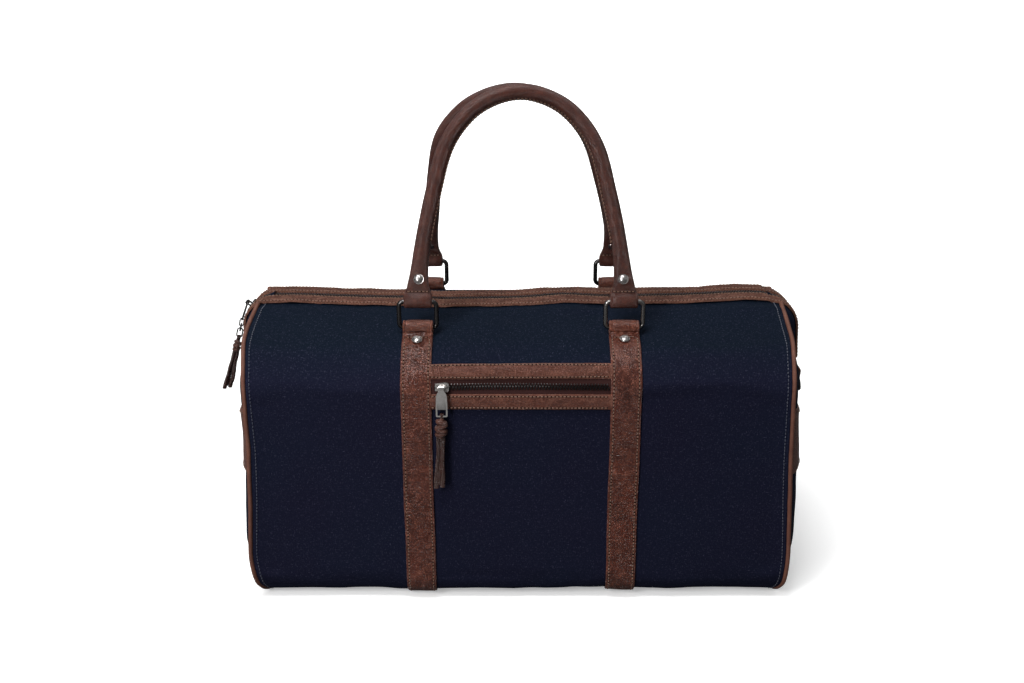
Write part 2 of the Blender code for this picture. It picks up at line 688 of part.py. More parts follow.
def build_drings():
    for tag, sign in LEFT_RIGHT:
        mesh = plate(CHAPE, -CHAPE_HALF_W, CHAPE_HALF_W, "xz")
        chape = put("dring_chape_" + tag, on_side(mesh, sign, "x"), "leather")
        hole = bar((sign * CHAPE_X, 0, CHAPE_Z), (0, 0.02, 0), CHAPE_HOLE_R, 16)
        combine(chape, hole, "DIFFERENCE")
        z_sign, outward = DRING_POSES[tag]
        points = [(sign * CHAPE_X, y, CHAPE_Z) for y in (-DRING_HALF_W, DRING_HALF_W)]
        for k in range(DRING_STEPS + 1):
            angle = math.pi * k / DRING_STEPS
            points.append((sign * (CHAPE_X + outward * math.sin(angle)),
                           DRING_HALF_W * math.cos(angle),
                           CHAPE_Z + z_sign * (DRING_STRAIGHT + DRING_BOW * math.sin(angle))))
        put("dring_" + tag, wire(points, DRING_WIRE_R, closed=True, resolution=2), "gunmetal")


# ---------------------------------------------------------------- front pocket
GAP_LOW, GAP_TOP = 0.0055, 0.0195       # opening between the welts, as surface lengths
WELT_HALF_LEN, ZIP_HALF_LEN = 0.080, 0.0775
# name, look, surface lengths from and to, insets from and to, half length
POCKET_STRIPS = [
    ("pocket_welt_upper", "leather", GAP_TOP, 0.0335, -GAP, -0.0016, WELT_HALF_LEN),
    ("pocket_welt_lower", "leather", -0.0085, GAP_LOW, -GAP, -0.0016, WELT_HALF_LEN),
    ("pocket_tape_upper", "tape", 0.0153, 0.0188, 0.0004, 0.0014, ZIP_HALF_LEN),
    ("pocket_tape_lower", "tape", 0.0062, 0.0097, 0.0004, 0.0014, ZIP_HALF_LEN),
    ("pocket_teeth_upper", "gunmetal", 0.0134, 0.0150, -0.0012, 0.0014, ZIP_HALF_LEN),
    ("pocket_teeth_lower", "gunmetal", 0.0100, 0.0116, -0.0012, 0.0014, ZIP_HALF_LEN),
]
# strips as in the last five columns above
PANEL_SLOT = (0.0058, 0.0192, -0.002, 0.004, 0.0778)
POUCH = (-0.110, 0.0240, 0.0024, 0.0104, 0.0790)
POUCH_HOLLOW = (-0.109, 0.0230, 0.0034, 0.0094, 0.0780)
POUCH_MOUTH = (0.0045, 0.0205, 0.0010, 0.0060, ZIP_HALF_LEN)


def strip(start, end, inset0, inset1, half_len):
    """A strip along the front face between surface lengths and insets."""
    bends = [SHOULDER_R * SHOULDER_TURN * k / SHOULDER_STEPS for k in range(SHOULDER_STEPS + 1)]
    lengths = sorted([start, end] + [u for u in bends if start + 0.0004 < u < end - 0.0004])
    points = [face(u, inset0) for u in lengths] + [face(u, inset1) for u in reversed(lengths)]
    return plate([(-y, z) for y, z in points], -half_len, half_len, "yz")


def build_pocket(front_panel):
    for name, look, *shape in POCKET_STRIPS:
        put(name, strip(*shape), look)
    combine(front_panel, strip(*PANEL_SLOT), "DIFFERENCE")
    pouch = put("pocket_pouch", strip(*POUCH), "lining")
    combine(pouch, strip(*POUCH_HOLLOW), "DIFFERENCE")
    combine(pouch, strip(*POUCH_MOUTH), "DIFFERENCE")


# Pocket slider: x along the zip, y up the face, z out of the face, set on the shoulder.
POCKET_SLIDER_X = -0.0720
POCKET_SLIDER = [
    ((-0.0045, 0.0065), 0.0046, (0.0018, 0.0032)),      # outer plate
    ((-0.0045, 0.0065), 0.0046, (-0.0036, -0.0022)),    # inner plate
    ((0.0025, 0.0060), 0.00055, (-0.0030, 0.0026)),     # web
]
BRIDGE_Z = 0.0068
POCKET_STAPLE = [(-0.0036, 0, 0.0026), (-0.0036, 0, 0.0060), (-0.0030, 0, BRIDGE_Z),
                 (0.0042, 0, BRIDGE_Z), (0.0048, 0, 0.0060), (0.0048, 0, 0.0026)]
POCKET_PULL_LEN = 0.0275
POCKET_PULL_DIR = Vector((0, -0.010, -1)).normalized()
LOW_WINDOW_Y = -POCKET_PULL_LEN + 0.0014
# two rectangular windows in the tab: x across, y up
POCKET_WINDOWS = [
    [(-0.0024, -0.0050), (-0.0024, -0.0085), (0.0024, -0.0085), (0.0024, -0.0050)],
    [(-0.0024, LOW_WINDOW_Y), (0.0024, LOW_WINDOW_Y),
     (0.0024, LOW_WINDOW_Y + 0.0042), (-0.0024, LOW_WINDOW_Y + 0.0042)],
]
POCKET_TASSEL_DIR = Vector((-0.050, -0.010, -1)).normalized()
# flat outline of loop, knot and two strips: x across, y up
POCKET_TASSEL = [
    (-0.0018, -0.0018), (0.0018, -0.0018), (0.0018, -0.0045), (0.0048, -0.0060),
    (0.0050, -0.0150), (0.0030, -0.0185), (0.0046, -0.0640), (0.0010, -0.0650),
    (0.0004, -0.0270), (-0.0004, -0.0270), (-0.0010, -0.0655), (-0.0046, -0.0645),
    (-0.0030, -0.0185), (-0.0050, -0.0150), (-0.0048, -0.0060), (-0.0018, -0.0045)]


def build_pocket_pull():
    """Slider, the tab hanging clear of the lower welt, and the tassel on its lower bar."""
    middle = (GAP_LOW + GAP_TOP) / 2
    angle = middle / SHOULDER_R
    y, z = face(middle, 0.0)
    up_face = Vector((0, math.sin(angle), math.cos(angle)))
    frame = frame_at((POCKET_SLIDER_X, -y, z), X_AXIS, up_face)
    build_slider("pocket_slider", "nickel", POCKET_SLIDER, POCKET_STAPLE, frame)

    pivot = frame @ Vector((0.0006, 0, BRIDGE_Z))
    outline = tab_outline(neck=(0.0021, -0.0022), shoulder=(0.0046, -0.0045),
                          half=0.0048, length=POCKET_PULL_LEN)
    build_pull("pocket_pull", outline, half_thick=0.0007, barrel_half=0.0023,
               windows=POCKET_WINDOWS, window_reach=0.005,
               pivot=pivot, down=POCKET_PULL_DIR, across=X_AXIS)

    top = pivot + POCKET_PULL_DIR * (POCKET_PULL_LEN - 0.0007)
    across = POCKET_TASSEL_DIR.cross(Y_AXIS).normalized()
    mesh = plate(POCKET_TASSEL, -0.0014, 0.0014, "xy")
    mesh = moved(mesh, frame_at(top, across, -POCKET_TASSEL_DIR))
    tassel = put("pocket_tassel", mesh, "dark_leather")
    combine(tassel, bar(top, X_AXIS * 0.0019, 0.0024, 14), "UNION")
    combine(tassel, bar(top, X_AXIS * BORE_REACH, 0.0014, 14), "DIFFERENCE")


# ---------------------------------------------------------------- the bag
panels = build_panels()
build_base()
build_lining()
build_ends()
build_piping()
build_mouth()
build_zip_pull()
build_straps(panels)
for _tag, _sign in FRONT_BACK:
    build_handle(_tag, _sign)
build_drings()
build_pocket(panels["front"])
build_pocket_pull()
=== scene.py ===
"""A navy canvas travel bag with brown leather straps, two handles and zips.

Metres, +Z up. The bag stands on z = 0, its length runs along X and its front faces -Y.
The side profile is symmetric about y = 0; "length" on the body's sheet runs from the front
edge of the mouth, down the front, under the base and up the back.
"""
import math

import bmesh
import bpy
import numpy as np
from mathutils import Matrix, Vector, noise
from mathutils.bvhtree import BVHTree


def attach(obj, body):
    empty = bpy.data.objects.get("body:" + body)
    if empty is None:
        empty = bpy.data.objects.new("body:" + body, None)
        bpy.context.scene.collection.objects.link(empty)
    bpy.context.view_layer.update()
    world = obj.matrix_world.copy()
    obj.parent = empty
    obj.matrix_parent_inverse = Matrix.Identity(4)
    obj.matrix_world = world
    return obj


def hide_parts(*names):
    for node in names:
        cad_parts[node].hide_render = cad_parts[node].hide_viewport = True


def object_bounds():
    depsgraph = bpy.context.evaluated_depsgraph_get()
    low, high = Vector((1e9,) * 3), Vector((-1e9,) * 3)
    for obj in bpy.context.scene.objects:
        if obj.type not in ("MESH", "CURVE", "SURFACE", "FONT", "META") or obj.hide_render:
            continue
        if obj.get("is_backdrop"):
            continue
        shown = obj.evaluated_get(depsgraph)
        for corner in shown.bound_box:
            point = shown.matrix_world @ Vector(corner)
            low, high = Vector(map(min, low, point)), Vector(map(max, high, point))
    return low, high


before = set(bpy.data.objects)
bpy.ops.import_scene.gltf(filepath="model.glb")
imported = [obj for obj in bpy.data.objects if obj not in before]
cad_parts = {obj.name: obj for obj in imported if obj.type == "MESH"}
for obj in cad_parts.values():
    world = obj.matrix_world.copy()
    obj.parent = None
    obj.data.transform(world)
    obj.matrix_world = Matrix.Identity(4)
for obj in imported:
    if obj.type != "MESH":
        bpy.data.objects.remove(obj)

CAD_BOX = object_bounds()

# ---------------------------------------------------------------- driving dimensions
SHOULDER_RADIUS, SHOULDER_Y, SHOULDER_Z = 0.050, 0.070, 0.205
TOP_SLOPE = math.radians(15.6)
SHOULDER_ARC = math.pi / 2 - TOP_SLOPE
FOOT_RADIUS = 0.032
FOOT_Y, FOOT_Z = SHOULDER_Y + SHOULDER_RADIUS - FOOT_RADIUS, FOOT_RADIUS
# The zip runs along the top and turns down over each end about (ZIP_X, ZIP_Z).
ZIP_X, ZIP_Z, ZIP_RADIUS = 0.2425, 0.2445, 0.027
ZIP_TURN, ZIP_DROP = math.radians(87), 0.033
RING_Y, RING_Z, RING_HEIGHT, RING_WIDTH = 0.076, 0.2605, 0.0245, 0.0345
STRAP_X = 0.095

THREAD_RADIUS, FINE_THREAD_RADIUS, TAB_THREAD_RADIUS = 0.00052, 0.000468, 0.000494
STITCH_PITCH, STITCH_LENGTH = 0.0034, 0.0025

FACES = (("front", -1), ("back", 1))  # name, sign of y
ENDS = (("left", -1), ("right", 1))  # name, sign of x
X_AXIS, Y_AXIS = Vector((1, 0, 0)), Vector((0, 1, 0))


# ---------------------------------------------------------------- shader nodes
class Nodes:
    """Short calls for building a node tree. A value may be a number, a colour or a socket."""

    def __init__(self, tree):
        self.tree = tree

    def feed(self, target, value):
        if isinstance(value, bpy.types.NodeSocket):
            self.tree.links.new(value, target)
            return
        target.default_value = (*value, 1) if target.type == "RGBA" else value

    def set(self, name, inputs):
        for key, value in inputs.items():
            self.feed(self.tree.nodes[name].inputs[key], value)

    def node(self, kind, inputs, **settings):
        node = self.tree.nodes.new(kind)
        for key, value in settings.items():
            setattr(node, key, value)
        for key, value in inputs.items():
            self.feed(node.inputs[key], value)
        return node

    def source(self, kind, output):
        return self.node(kind, {}).outputs[output]

    def split(self, vector):
        return self.node("ShaderNodeSeparateXYZ", {0: vector}).outputs

    def math(self, operation, *values):
        inputs = dict(enumerate(values))
        return self.node("ShaderNodeMath", inputs, operation=operation).outputs[0]

    def times(self, a, b):
        return self.math("MULTIPLY", a, b)

    def plus(self, a, b):
        return self.math("ADD", a, b)

    def ramp(self, factor, start, end, low=0, high=1):
        """Grey ramp from low at start to high at end."""
        node = self.node("ShaderNodeValToRGB", {0: factor})
        for element, position, grey in zip(node.color_ramp.elements, (start, end), (low, high)):
            element.position = position
            element.color = (grey, grey, grey, 1)
        return node.outputs[0]

    def mix(self, factor, a, b):
        inputs = {0: factor, 6: a, 7: b}
        return self.node("ShaderNodeMix", inputs, data_type="RGBA").outputs[2]

    def noise(self, vector, scale, detail=4, rough=0.55, distortion=0.0):
        inputs = {"Vector": vector, "Scale": scale, "Detail": detail, "Roughness": rough,
                  "Distortion": distortion}
        return self.node("ShaderNodeTexNoise", inputs).outputs["Fac"]

    def stretch(self, vector, scale):
        return self.node("ShaderNodeMapping", {"Vector": vector, "Scale": scale}).outputs[0]

    def map_to(self, value, low, high):
        inputs = {"Value": value, "To Min": low, "To Max": high}
        return self.node("ShaderNodeMapRange", inputs).outputs[0]

    def bump(self, height, strength, distance, normal=None):
        inputs = {"Height": height, "Strength": strength, "Distance": distance}
        if normal is not None:
            inputs["Normal"] = normal
        return self.node("ShaderNodeBump", inputs).outputs[0]


def new_material(name):
    material = bpy.data.materials.new(name)
    material.use_nodes = True
    return material, Nodes(material.node_tree)


def scaled(colour, amount):
    return tuple(amount * channel for channel in colour)


# ---------------------------------------------------------------- materials
def canvas_material(name, tint, light, speckle, space, painted_sky_light):
    """Plain-weave cotton: crossed waves for warp and weft, slubs both ways, lint on top, and a
    painted sky-light tint on faces that look up.
    """
    material, nodes = new_material(name)
    place = nodes.source("ShaderNodeTexCoord", space)
    axes = nodes.split(place)
    thread_frequency = 2 * math.pi / 0.00115
    wobble = nodes.times(nodes.math("SUBTRACT", nodes.noise(place, 55, detail=3), 0.5), 3.0)
    warp, weft = (
        nodes.math("SINE", nodes.plus(nodes.times(axes[k], thread_frequency), wobble))
        for k in (0, 1)
    )
    weave = nodes.times(warp, weft)
    threads = nodes.math("MAXIMUM", nodes.times(warp, 0.6), nodes.times(weft, 0.6))
    height = nodes.plus(nodes.times(weave, 0.5), nodes.times(threads, 0.5))
    slub = nodes.math("MAXIMUM", *(
        nodes.noise(nodes.stretch(place, scale), 1, detail=3, rough=0.6)
        for scale in ((330, 1300, 1), (1300, 330, 1))
    ))

    colour = nodes.mix(nodes.times(nodes.plus(height, 1.0), 0.42), tint, light)
    fine = nodes.noise(place, 900, detail=2, rough=0.7)
    colour = nodes.mix(nodes.times(fine, 0.45), colour, scaled(tint, 0.45))
    lint = nodes.ramp(nodes.noise(place, 1350, detail=2, rough=0.8), 0.50, 0.72)
    colour = nodes.mix(nodes.times(lint, 0.55), colour, scaled(light, 1.9))
    cloud = nodes.ramp(nodes.noise(place, 9, detail=3, rough=0.5), 0.35, 0.75, high=0.5)
    colour = nodes.mix(cloud, colour, (0.0050, 0.0085, 0.0190))
    # painted sky light: a teal tone on faces that look up, standing in for the light from above
    normal = nodes.split(nodes.source("ShaderNodeNewGeometry", "Normal"))
    sky_light_mask = nodes.ramp(normal[2], 0.35, 1.0)
    colour = nodes.mix(nodes.times(sky_light_mask, painted_sky_light), colour, (0.0009, 0.0042, 0.0078))
    colour = nodes.mix(nodes.ramp(slub, 0.60, 0.80), colour, speckle)

    relief = nodes.bump(height, strength=0.55, distance=0.00028)
    relief = nodes.bump(slub, strength=0.35, distance=0.0004, normal=relief)
    relief = nodes.bump(nodes.noise(place, 26), strength=0.35, distance=0.0016, normal=relief)
    nodes.set("Principled BSDF", {
        "Base Color": colour, "Roughness": 0.88, "Specular IOR Level": 0.035,
        "Sheen Weight": 0.006, "Sheen Roughness": 0.45, "Sheen Tint": (0.35, 0.5, 0.8),
        "Normal": relief,
    })
    return material


def leather_material(name, dark, mid, light, grain, depth, rough, creases, specular=0.45):
    """Pebble grain from soft cells, fine pores and long creases; painted shade in the hollows
    between cells, rubbed tops.

    grain is the number of cells per metre, depth how strongly they show.
    """
    material, nodes = new_material(name)
    place = nodes.source("ShaderNodeTexCoord", "Object")
    wander = nodes.node("ShaderNodeTexNoise", {"Vector": place, "Scale": 260.0, "Detail": 2.0})
    shift = nodes.node("ShaderNodeVectorMath", {0: wander.outputs["Color"], "Scale": 0.0007},
                       operation="SCALE")
    warped = nodes.node("ShaderNodeVectorMath", {0: place, 1: shift.outputs[0]},
                        operation="ADD").outputs[0]
    cells = {"Vector": warped, "Scale": grain}
    cell = nodes.node("ShaderNodeTexVoronoi", {**cells, "Smoothness": 0.25},
                      feature="SMOOTH_F1").outputs["Distance"]
    edge = nodes.node("ShaderNodeTexVoronoi", cells,
                      feature="DISTANCE_TO_EDGE").outputs["Distance"]
    plateau = nodes.ramp(edge, 0.0, 0.16)

    patch = nodes.ramp(nodes.noise(place, 34, rough=0.6), 0.32, 0.70)
    tone = nodes.mix(patch, dark, mid)
    mottle = nodes.ramp(nodes.noise(place, 130, detail=5, rough=0.65), 0.48, 0.74)
    tone = nodes.mix(nodes.times(mottle, 0.55), tone, light)
    # each cell is a little lighter or darker than its neighbours
    own = nodes.node("ShaderNodeTexVoronoi", cells).outputs["Color"]
    pick = nodes.node("ShaderNodeSeparateColor", {0: own}).outputs
    for channel, amount, colour in ((0, 0.34, light), (1, 0.45, dark)):
        chosen = nodes.ramp(pick[channel], 0.50, 0.95)
        tone = nodes.mix(nodes.times(chosen, amount * depth), tone, colour)
    # painted shade: the hollows between the raised cells are darkened
    between = nodes.math("SUBTRACT", 1.0, plateau)
    tone = nodes.mix(nodes.times(between, 0.75), tone, scaled(dark, 0.30))
    worn = nodes.ramp(nodes.source("ShaderNodeNewGeometry", "Pointiness"), 0.50, 0.60)
    tone = nodes.mix(nodes.times(worn, 0.35), tone, light)

    dome = nodes.math("SUBTRACT", 1.0, cell)
    height = nodes.plus(nodes.times(plateau, 0.7), nodes.times(dome, 0.3))
    pores = nodes.noise(place, 3200, detail=3, rough=0.6)
    folds = nodes.noise(nodes.stretch(place, (26, 60, 150)), 1, rough=0.6, distortion=0.6)
    relief = nodes.bump(height, strength=depth, distance=0.00115)
    relief = nodes.bump(pores, strength=0.15, distance=0.00012, normal=relief)
    relief = nodes.bump(folds, strength=creases, distance=0.0014, normal=relief)
    nodes.set("Principled BSDF", {
        "Base Color": tone, "Roughness": nodes.map_to(nodes.noise(place, 90, rough=0.6), *rough),
        "Specular IOR Level": specular, "Coat Roughness": 0.35, "Normal": relief,
    })
    return material


def metal_material(name, base, dark, rough):
    """Brushed metal with a patina and darkened hollows."""
    material, nodes = new_material(name)
    place = nodes.source("ShaderNodeTexCoord", "Object")
    patina = nodes.ramp(nodes.noise(place, 420, detail=5, rough=0.65), 0.38, 0.68)
    pointed = nodes.source("ShaderNodeNewGeometry", "Pointiness")
    hollow = nodes.ramp(pointed, 0.44, 0.51, low=1, high=0)
    colour = nodes.mix(nodes.times(patina, 0.45), base, dark)
    colour = nodes.mix(nodes.times(hollow, 0.7), colour, scaled(dark, 0.3))
    lines = nodes.noise(nodes.stretch(place, (300, 5200, 1500)), 1, detail=3, rough=0.7)
    dulling = nodes.plus(nodes.times(lines, 0.35), nodes.times(patina, 0.65))
    relief = nodes.bump(nodes.noise(place, 900, detail=3), strength=0.12, distance=0.0002)
    nodes.set("Principled BSDF", {
        "Base Color": colour, "Metallic": 1.0, "Roughness": nodes.map_to(dulling, *rough),
        "Normal": nodes.bump(lines, strength=0.08, distance=0.0001, normal=relief),
    })
    return material


def wave_texture(nodes, place, direction, scale, distortion):
    inputs = {"Vector": place, "Scale": scale, "Distortion": distortion}
    return nodes.node("ShaderNodeTexWave", inputs, bands_direction=direction).outputs["Fac"]


def thread_material(name, dark, light):
    """Twisted thread."""
    material, nodes = new_material(name)
    place = nodes.source("ShaderNodeTexCoord", "Object")
    twist = wave_texture(nodes, place, "DIAGONAL", scale=900.0, distortion=1.5)
    worn = nodes.mix(nodes.noise(place, 220, detail=2), light, dark)
    nodes.set("Principled BSDF", {
        "Base Color": nodes.mix(twist, dark, worn), "Roughness": 0.75, "Sheen Weight": 0.3,
        "Normal": nodes.bump(twist, strength=0.6, distance=0.0002),
    })
    return material


def tape_material(name, dark, light):
    """Herringbone zip tape."""
    material, nodes = new_material(name)
    place = nodes.source("ShaderNodeTexCoord", "Object")
    height = nodes.times(
        wave_texture(nodes, place, "X", scale=520.0, distortion=0.4),
        wave_texture(nodes, place, "DIAGONAL", scale=700.0, distortion=0.6))
    blend = nodes.times(nodes.noise(place, 200, detail=3), height)
    nodes.set("Principled BSDF", {
        "Base Color": nodes.mix(blend, dark, light), "Roughness": 0.85,
        "Specular IOR Level": 0.15, "Sheen Weight": 0.05,
        "Normal": nodes.bump(height, strength=0.6, distance=0.0003),
    })
    return material


CANVAS = canvas_material(
    "canvas_navy", tint=(0.0034, 0.0036, 0.0105), light=(0.0095, 0.0100, 0.0240),
    speckle=(0.052, 0.052, 0.088), space="UV", painted_sky_light=0.75)
LEATHER = leather_material(
    "leather_strap", dark=(0.042, 0.0078, 0.0038), mid=(0.112, 0.0225, 0.0108),
    light=(0.340, 0.1150, 0.0700), grain=690, depth=0.96, rough=(0.22, 0.38), creases=0.60)
WELT = leather_material(
    "leather_welt", dark=(0.074, 0.0190, 0.0105), mid=(0.148, 0.0440, 0.0260),
    light=(0.330, 0.1400, 0.0930), grain=950, depth=0.85, rough=(0.30, 0.5), creases=0.35,
    specular=0.36)
SUEDE = leather_material(
    "leather_band", dark=(0.058, 0.0185, 0.0115), mid=(0.148, 0.0560, 0.0360),
    light=(0.360, 0.1800, 0.1280), grain=850, depth=0.95, rough=(0.60, 0.85), creases=0.7,
    specular=0.16)
HANDLE = leather_material(
    "leather_handle", dark=(0.022, 0.0040, 0.0020), mid=(0.056, 0.0108, 0.0053),
    light=(0.140, 0.0440, 0.0285), grain=900, depth=0.60, rough=(0.24, 0.38), creases=0.45,
    specular=0.40)
PIPING = leather_material(
    "leather_piping", dark=(0.072, 0.0230, 0.0140), mid=(0.135, 0.0490, 0.0310),
    light=(0.225, 0.0980, 0.0660), grain=1500, depth=0.40, rough=(0.42, 0.66), creases=0.25,
    specular=0.26)
TASSEL = leather_material(
    "leather_tassel", dark=(0.010, 0.0034, 0.0026), mid=(0.024, 0.0072, 0.0052),
    light=(0.075, 0.0270, 0.0190), grain=1500, depth=0.45, rough=(0.20, 0.36), creases=0.4,
    specular=0.55)
KNOT = leather_material(
    "leather_knot", dark=(0.028, 0.0070, 0.0042), mid=(0.062, 0.0160, 0.0095),
    light=(0.160, 0.0650, 0.0450), grain=1300, depth=0.6, rough=(0.22, 0.38), creases=0.4,
    specular=0.50)
EDGE = leather_material(
    "leather_edge", dark=(0.012, 0.0045, 0.0035), mid=(0.022, 0.0085, 0.0065),
    light=(0.045, 0.0190, 0.0140), grain=2600, depth=0.3, rough=(0.5, 0.7), creases=0.3,
    specular=0.2)
# painted shade: near-black for the inside of the needle holes
HOLE_SHADE = leather_material(
    "stitch_hole", dark=(0.0020, 0.0012, 0.0010), mid=(0.0040, 0.0022, 0.0018),
    light=(0.0070, 0.0040, 0.0030), grain=2600, depth=0.2, rough=(0.7, 0.9), creases=0.1,
    specular=0.1)
GUNMETAL = metal_material(
    "gunmetal", base=(0.060, 0.056, 0.056), dark=(0.012, 0.011, 0.011), rough=(0.20, 0.42))
SILVER = metal_material(
    "nickel_bright", base=(0.90, 0.88, 0.86), dark=(0.40, 0.37, 0.35), rough=(0.10, 0.24))
# a lighter copy of the gunmetal, used on one ring only
GUNMETAL_LIGHTER = metal_material(
    "gunmetal_lighter", base=(0.20, 0.19, 0.185), dark=(0.030, 0.028, 0.027),
    rough=(0.16, 0.34))
NICKEL = metal_material(
    "nickel_antique", base=(0.40, 0.38, 0.37), dark=(0.10, 0.092, 0.088), rough=(0.20, 0.42))
TOOTH = metal_material(
    "zip_teeth", base=(0.042, 0.038, 0.038), dark=(0.006, 0.005, 0.005), rough=(0.25, 0.45))
THREAD = thread_material("thread_tan", dark=(0.120, 0.052, 0.028), light=(0.240, 0.120, 0.070))
NAVY_THREAD = thread_material(
    "thread_navy", dark=(0.010, 0.014, 0.034), light=(0.022, 0.030, 0.062))
TAPE = tape_material("zip_tape", dark=(0.022, 0.0066, 0.0060), light=(0.064, 0.0200, 0.0172))
LINING = canvas_material(
    "lining_tan", tint=(0.10, 0.075, 0.05), light=(0.22, 0.17, 0.12),
    speckle=(0.30, 0.24, 0.18), space="Object", painted_sky_light=0.0)
BOARD = leather_material(
    "board_fibre", dark=(0.05, 0.04, 0.03), mid=(0.09, 0.07, 0.05), light=(0.14, 0.11, 0.08),
    grain=2500, depth=0.3, rough=(0.7, 0.9), creases=0.1)


# ---------------------------------------------------------------- mesh building
def face_outward(mesh):
    work = bmesh.new()
    work.from_mesh(mesh)
    bmesh.ops.recalc_face_normals(work, faces=work.faces)
    work.to_mesh(mesh)
    work.free()


def link_object(name, mesh):
    obj = bpy.data.objects.new(name, mesh)
    bpy.context.scene.collection.objects.link(obj)
    return obj


def make(name, verts, faces, material, body="bag", node=None, slot="brown_leather",
         uvs=None, smooth=True, sharp=None):
    """One finished piece: it rides on a body and may replace a CAD node."""
    mesh = bpy.data.meshes.new(name)
    mesh.from_pydata([tuple(map(float, v)) for v in verts], [], [tuple(map(int, f)) for f in faces])
    mesh.validate()
    face_outward(mesh)
    if uvs is not None:
        layer = mesh.uv_layers.new(name="cloth")
        index = np.zeros(len(mesh.loops), np.int32)
        mesh.loops.foreach_get("vertex_index", index)
        layer.data.foreach_set("uv", np.asarray(uvs, np.float32)[index].reshape(-1))
    for polygon in mesh.polygons:
        polygon.use_smooth = smooth
    if sharp is not None:
        mesh.set_sharp_from_angle(angle=math.radians(sharp))
    mesh.materials.append(material)
    obj = link_object(name, mesh)
    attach(obj, body)
    if node:
        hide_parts(node)
    return obj


def quads(rows, columns, wrap_rows=False, wrap_columns=False):
    out = []
    for i in range(rows if wrap_rows else rows - 1):
        for j in range(columns if wrap_columns else columns - 1):
            here, below = i * columns, ((i + 1) % rows) * columns
            right = (j + 1) % columns
            out.append((here + j, here + right, below + right, below + j))
    return out


def turns(count):
    """Evenly spaced angles round a full turn."""
    return [2 * math.pi * i / count for i in range(count)]


# One stitch: place along it, share of the thread's radius, height in radii. It dips at both ends.
STITCH = [(0.02, 0.35, -0.45), (0.14, 0.9, 0.15), (0.5, 1.0, 0.45), (0.86, 0.9, 0.15),
          (0.98, 0.35, -0.45)]
STITCH_LIFT = 0.00022
# Disc round each end of a stitch, painted shade for its needle hole:
NEEDLE_HOLE = [(1.25, -0.5), (1.15, 0.50), (0.55, 0.62)]  # radius and height, in thread radii


class Shapes:
    """Many small closed shapes in one mesh."""

    def __init__(self):
        self.verts, self.faces, self.holes = [], [], []

    def add(self, verts, faces):
        offset = len(self.verts)
        self.verts += [tuple(v) for v in verts]
        self.faces += [tuple(offset + i for i in face) for face in faces]

    def loft(self, rings, closed=False):
        rows, columns = len(rings), len(rings[0])
        faces = quads(rows, columns, wrap_rows=closed, wrap_columns=True)
        if not closed:
            faces += [tuple(range(columns))[::-1],
                      tuple(range((rows - 1) * columns, rows * columns))]
        self.add([point for ring in rings for point in ring], faces)

    def tube(self, points, radius, sides=10, flat=1.0):
        """Open tube; radius is one value or one for each point."""
        points = [Vector(p) for p in points]
        last = len(points) - 1
        radii = radius if hasattr(radius, "__len__") else [radius] * len(points)
        rings, up = [], None
        for k, (point, size) in enumerate(zip(points, radii)):
            along = (points[min(k + 1, last)] - points[max(k - 1, 0)]).normalized()
            if up is None:
                up = Vector((0, 0, 1)) if abs(along.z) < 0.9 else Vector((1, 0, 0))
            up = (up - along * up.dot(along)).normalized()
            side = along.cross(up)
            rings.append([point + (up * math.cos(w) * flat + side * math.sin(w)) * size
                          for w in turns(sides)])
        self.loft(rings)

    def closed_tube(self, points, radius, normal, sides):
        """A closed wire lying in one plane, so its sections never twist."""
        points = [Vector(p) for p in points]
        normal = Vector(normal).normalized()
        rings = []
        for k, point in enumerate(points):
            along = (points[(k + 1) % len(points)] - points[k - 1]).normalized()
            side = along.cross(normal).normalized()
            rings.append([point + (normal * math.cos(w) + side * math.sin(w)) * radius
                          for w in turns(sides)])
        self.loft(rings, closed=True)

    def stitch(self, start, end, normal, radius=THREAD_RADIUS):
        """One short fat thread between two holes."""
        start, end, normal = Vector(start), Vector(end), Vector(normal).normalized()
        step = end - start
        along = step.normalized()
        side = along.cross(normal).normalized()
        rings = []
        for place, share, height in STITCH:
            centre = start + step * place + normal * (height * radius + STITCH_LIFT)
            rings.append([
                centre + (normal * math.cos(w) * 0.8 + side * math.sin(w)) * radius * share
                for w in turns(6)])
        self.loft(rings)
        for hole in (start - along * 0.0001, end + along * 0.0001):
            self.holes.append((hole, normal, side, along, radius))

    def finish(self, name, material, body="bag", node=None, slot="brown_leather", **options):
        return make(name, self.verts, self.faces, material, body, node, slot, **options)

    def finish_stitches(self, name, body="bag", slot="brown_leather"):
        """The threads, then near-black discs at both ends of each: painted shade for the needle
        holes.
        """
        self.finish(name, THREAD, body, slot=slot)
        holes = Shapes()
        for centre, normal, side, along, radius in self.holes:
            holes.loft([
                [centre + normal * (height * radius)
                 + (along * math.cos(w) + side * math.sin(w)) * radius * share
                 for w in turns(7)]
                for share, height in NEEDLE_HOLE])
        holes.finish(name.replace("stitches", "stitch_holes"), HOLE_SHADE, body, slot=slot)


def lathe(profile, centre, axis):
    """Turn (radius, height) pairs about an axis."""
    turn = Vector((0, 0, 1)).rotation_difference(Vector(axis).normalized())
    shape = Shapes()
    shape.loft([
        [Vector(centre) + turn @ Vector((radius * math.cos(w), radius * math.sin(w), height))
         for w in turns(32)]
        for radius, height in profile])
    return shape


def smoothstep(start, end, x):
    t = np.clip((np.asarray(x, float) - start) / (end - start), 0, 1)
    return t * t * (3 - 2 * t)


def path_lengths(points):
    """Running length at each point of a polyline."""
    return np.concatenate([[0], np.cumsum(np.linalg.norm(np.diff(points, axis=0), axis=1))])


def interpolate(value, stations, points):
    return np.array([np.interp(value, stations, column) for column in np.asarray(points).T])


def steps(start, end, pitch, margin=0.0):
    """Places a pitch apart that leave a margin before the end."""
    place = start
    while place + margin < end:
        yield place
        place += pitch


def fractal(point, seed, octaves=3):
    shift = Vector((seed * 7.13, seed * 3.7, seed * 1.9))
    return noise.fractal(Vector(point) + shift, 0.9, 2.1, octaves)


